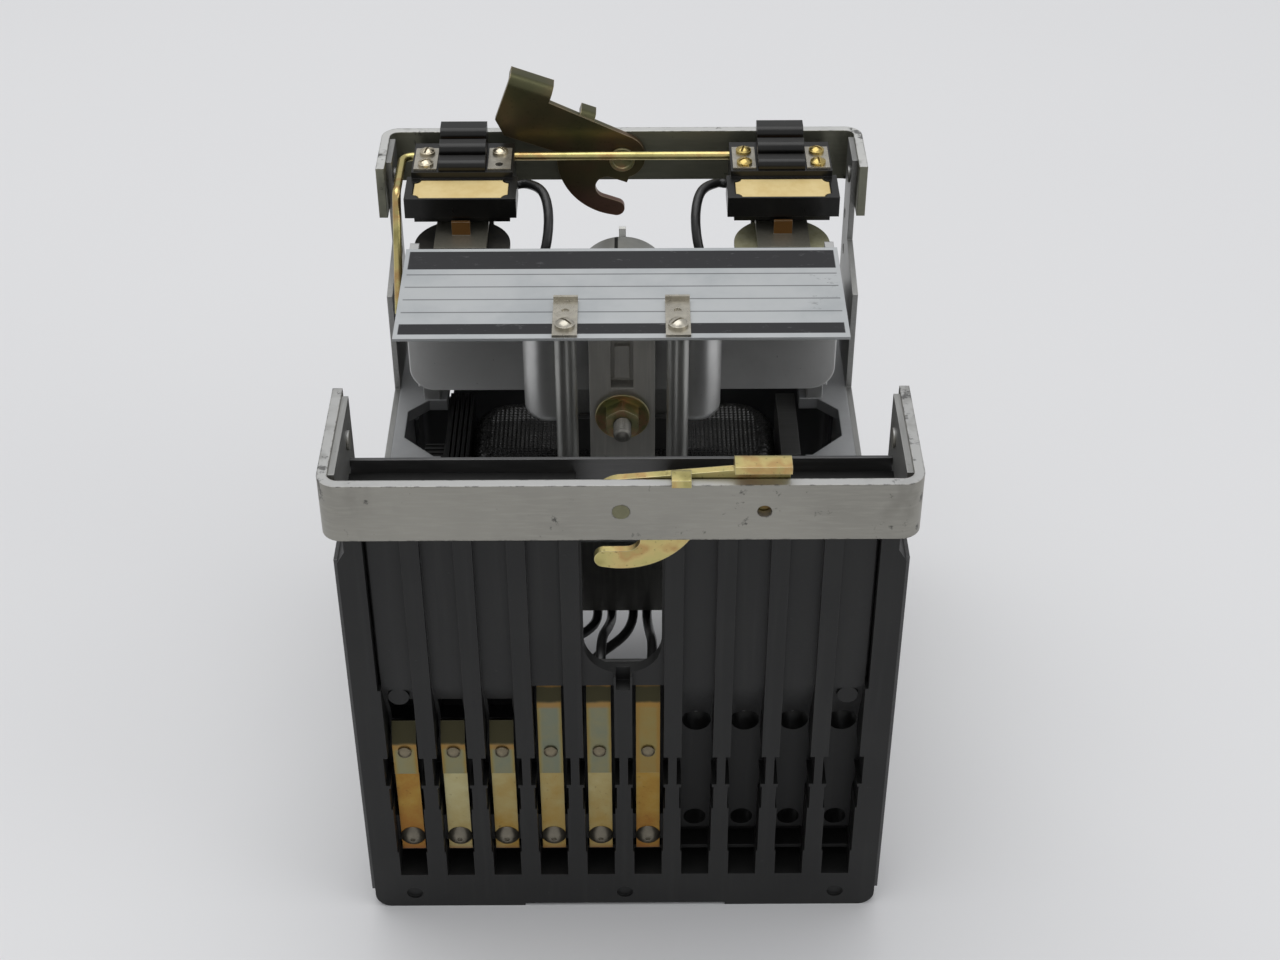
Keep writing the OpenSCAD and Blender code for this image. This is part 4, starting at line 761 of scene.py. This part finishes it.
# The rear wall is coloured far darker than the frame's grey casting: a painted shade for the dark space
# behind the coil.
wall_painted_shade = casting("wall_painted_shade", (0.10, 0.10, 0.102), 0.5, 0.7, 0.04, 0.2)
apron_points = strip_wall(APRON_HALF, apron_y, "front", bar_low[2], lambda x: wall_top)
rear_points = strip_wall(REAR_HALF, REAR_Y - DEPTH, "rear", bar_low[2], notched)
apron = surface("front_apron", apron_points, apron_steel, (False, True))
rear = surface("rear_wall", rear_points, wall_painted_shade, (False, True))
for piece in (apron, rear):
    piece.modifiers.new("split", "EDGE_SPLIT").split_angle = SHARP

# %% [markdown]
# The lower bearing of the disc sits in a screw, so that it can be set and locked by its nut. Its thread
# is a radius that falls and rises once per pitch, shifted by the angle so that the ridges run as a helix.
# The same profile closes the front end with a chamfer and the back end with the jewel's bore.

# %% Bearing screw
screw_low, screw_high = (np.array(corner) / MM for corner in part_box("bearing_screw"))
THREAD_PITCH, THREAD_DEPTH, CHAMFER = 0.8, 0.30, 0.7
BORE_R, BORE_DEPTH = 0.65, 2.0


def bearing_thread(around=48, per_turn=10):
    """Radius = full - depth·|2·fract(y / pitch + angle) - 1|, at most the chamfer's cone at the front."""
    full = (screw_high[2] - screw_low[2]) / 2
    front, back = screw_low[1], screw_high[1]
    rows = np.linspace(front, back, int((back - front) / THREAD_PITCH * per_turn))
    angle = np.linspace(0, 2 * pi, around, endpoint=False)
    wave = np.abs(2 * np.mod(rows[:, None] / THREAD_PITCH + angle[None, :] / (2 * pi), 1) - 1)
    radius = np.minimum(full - THREAD_DEPTH * wave, full - CHAMFER + (rows - front)[:, None])
    bore = np.array([[0, front], [full - CHAMFER, front], [BORE_R, back], [BORE_R, back - BORE_DEPTH],
                     [0, back - BORE_DEPTH]])
    radius = np.vstack([np.repeat(bore[:2, :1], around, 1), radius, np.repeat(bore[2:, :1], around, 1)])
    rows = np.concatenate([bore[:2, 1], rows, bore[2:, 1]])
    middle = (screw_low + screw_high) / 2
    return np.stack([middle[0] + radius * np.cos(angle), np.broadcast_to(rows[:, None], radius.shape),
                     middle[2] + radius * np.sin(angle)], axis=-1)


surface("bearing_thread", bearing_thread(), dull_steel, (False, True), "bearing_screw")
print("dressed", len(dressed), "of", len(nodes), "left:", sorted(set(nodes) - dressed))

# %% [markdown]
# CAD solids arrive as loose triangles, so a round bar shows its facets. Welding the corners and
# splitting only at real edges lets the renderer smooth the rest; a lead, which is an eight-sided tube,
# also gets a subdivision that makes it round.

# %% Smooth the round faces
WELD = 0.002
for name, node in nodes.items():
    node.data.polygons.foreach_set("use_smooth", np.ones(len(node.data.polygons), bool))
    weld = node.modifiers.new("weld", "WELD")
    weld.merge_threshold = WELD * MM
    if name.endswith("_leads"):
        rounder = node.modifiers.new("round", "SUBSURF")
        rounder.levels = rounder.render_levels = 2
    else:
        split = node.modifiers.new("split", "EDGE_SPLIT")
        split.split_angle = SHARP
print("smoothed", len(nodes))

# %% [markdown]
# The bench is a pale sheet, wide enough to have no edge in view. One large soft light overhead, a weaker
# one from the side and a bright room give the shallow shadows of the photograph.

# %% Floor and light


def sheet(name, height, corners):
    """A flat quad at a height, as a mesh."""
    mesh = bpy.data.meshes.new(name)
    mesh.from_pydata([(x, y, height) for x, y in corners], [], [(0, 1, 2, 3)])
    made = bpy.data.objects.new(name, mesh)
    scene.collection.objects.link(made)
    return made


floor = sheet("floor", 0.0, [(-4, -3), (4, -3), (4, 6), (-4, 6)])
f = Finish("bench")
paint = f.flat((0.77, 0.77, 0.775)).tint((0.74, 0.74, 0.75), f.noise(300, 2))
floor.data.materials.append(f.set(paint, 0.5))

ROOM = 0.58
world = bpy.data.worlds.new("room")
world.use_nodes = True
world.node_tree.nodes["Background"].inputs["Color"].default_value = (0.97, 0.98, 1.0, 1)
world.node_tree.nodes["Background"].inputs["Strength"].default_value = ROOM
scene.world = world


def softbox(name, place, aim, size, power):
    """A square area light at a place, turned to face a point."""
    light = bpy.data.lights.new(name, "AREA")
    light.size, light.energy = size, power
    lamp = bpy.data.objects.new(name, light)
    lamp.location = place
    lamp.rotation_euler = (Vector(aim) - lamp.location).to_track_quat("-Z", "Y").to_euler()
    scene.collection.objects.link(lamp)


PART_MIDDLE = (0, 0, 0.08)
softbox("overhead", (-0.15, 0.25, 1.5), PART_MIDDLE, size=1.4, power=11)
softbox("window", (1.3, -0.5, 0.9), PART_MIDDLE, size=0.9, power=2.5)
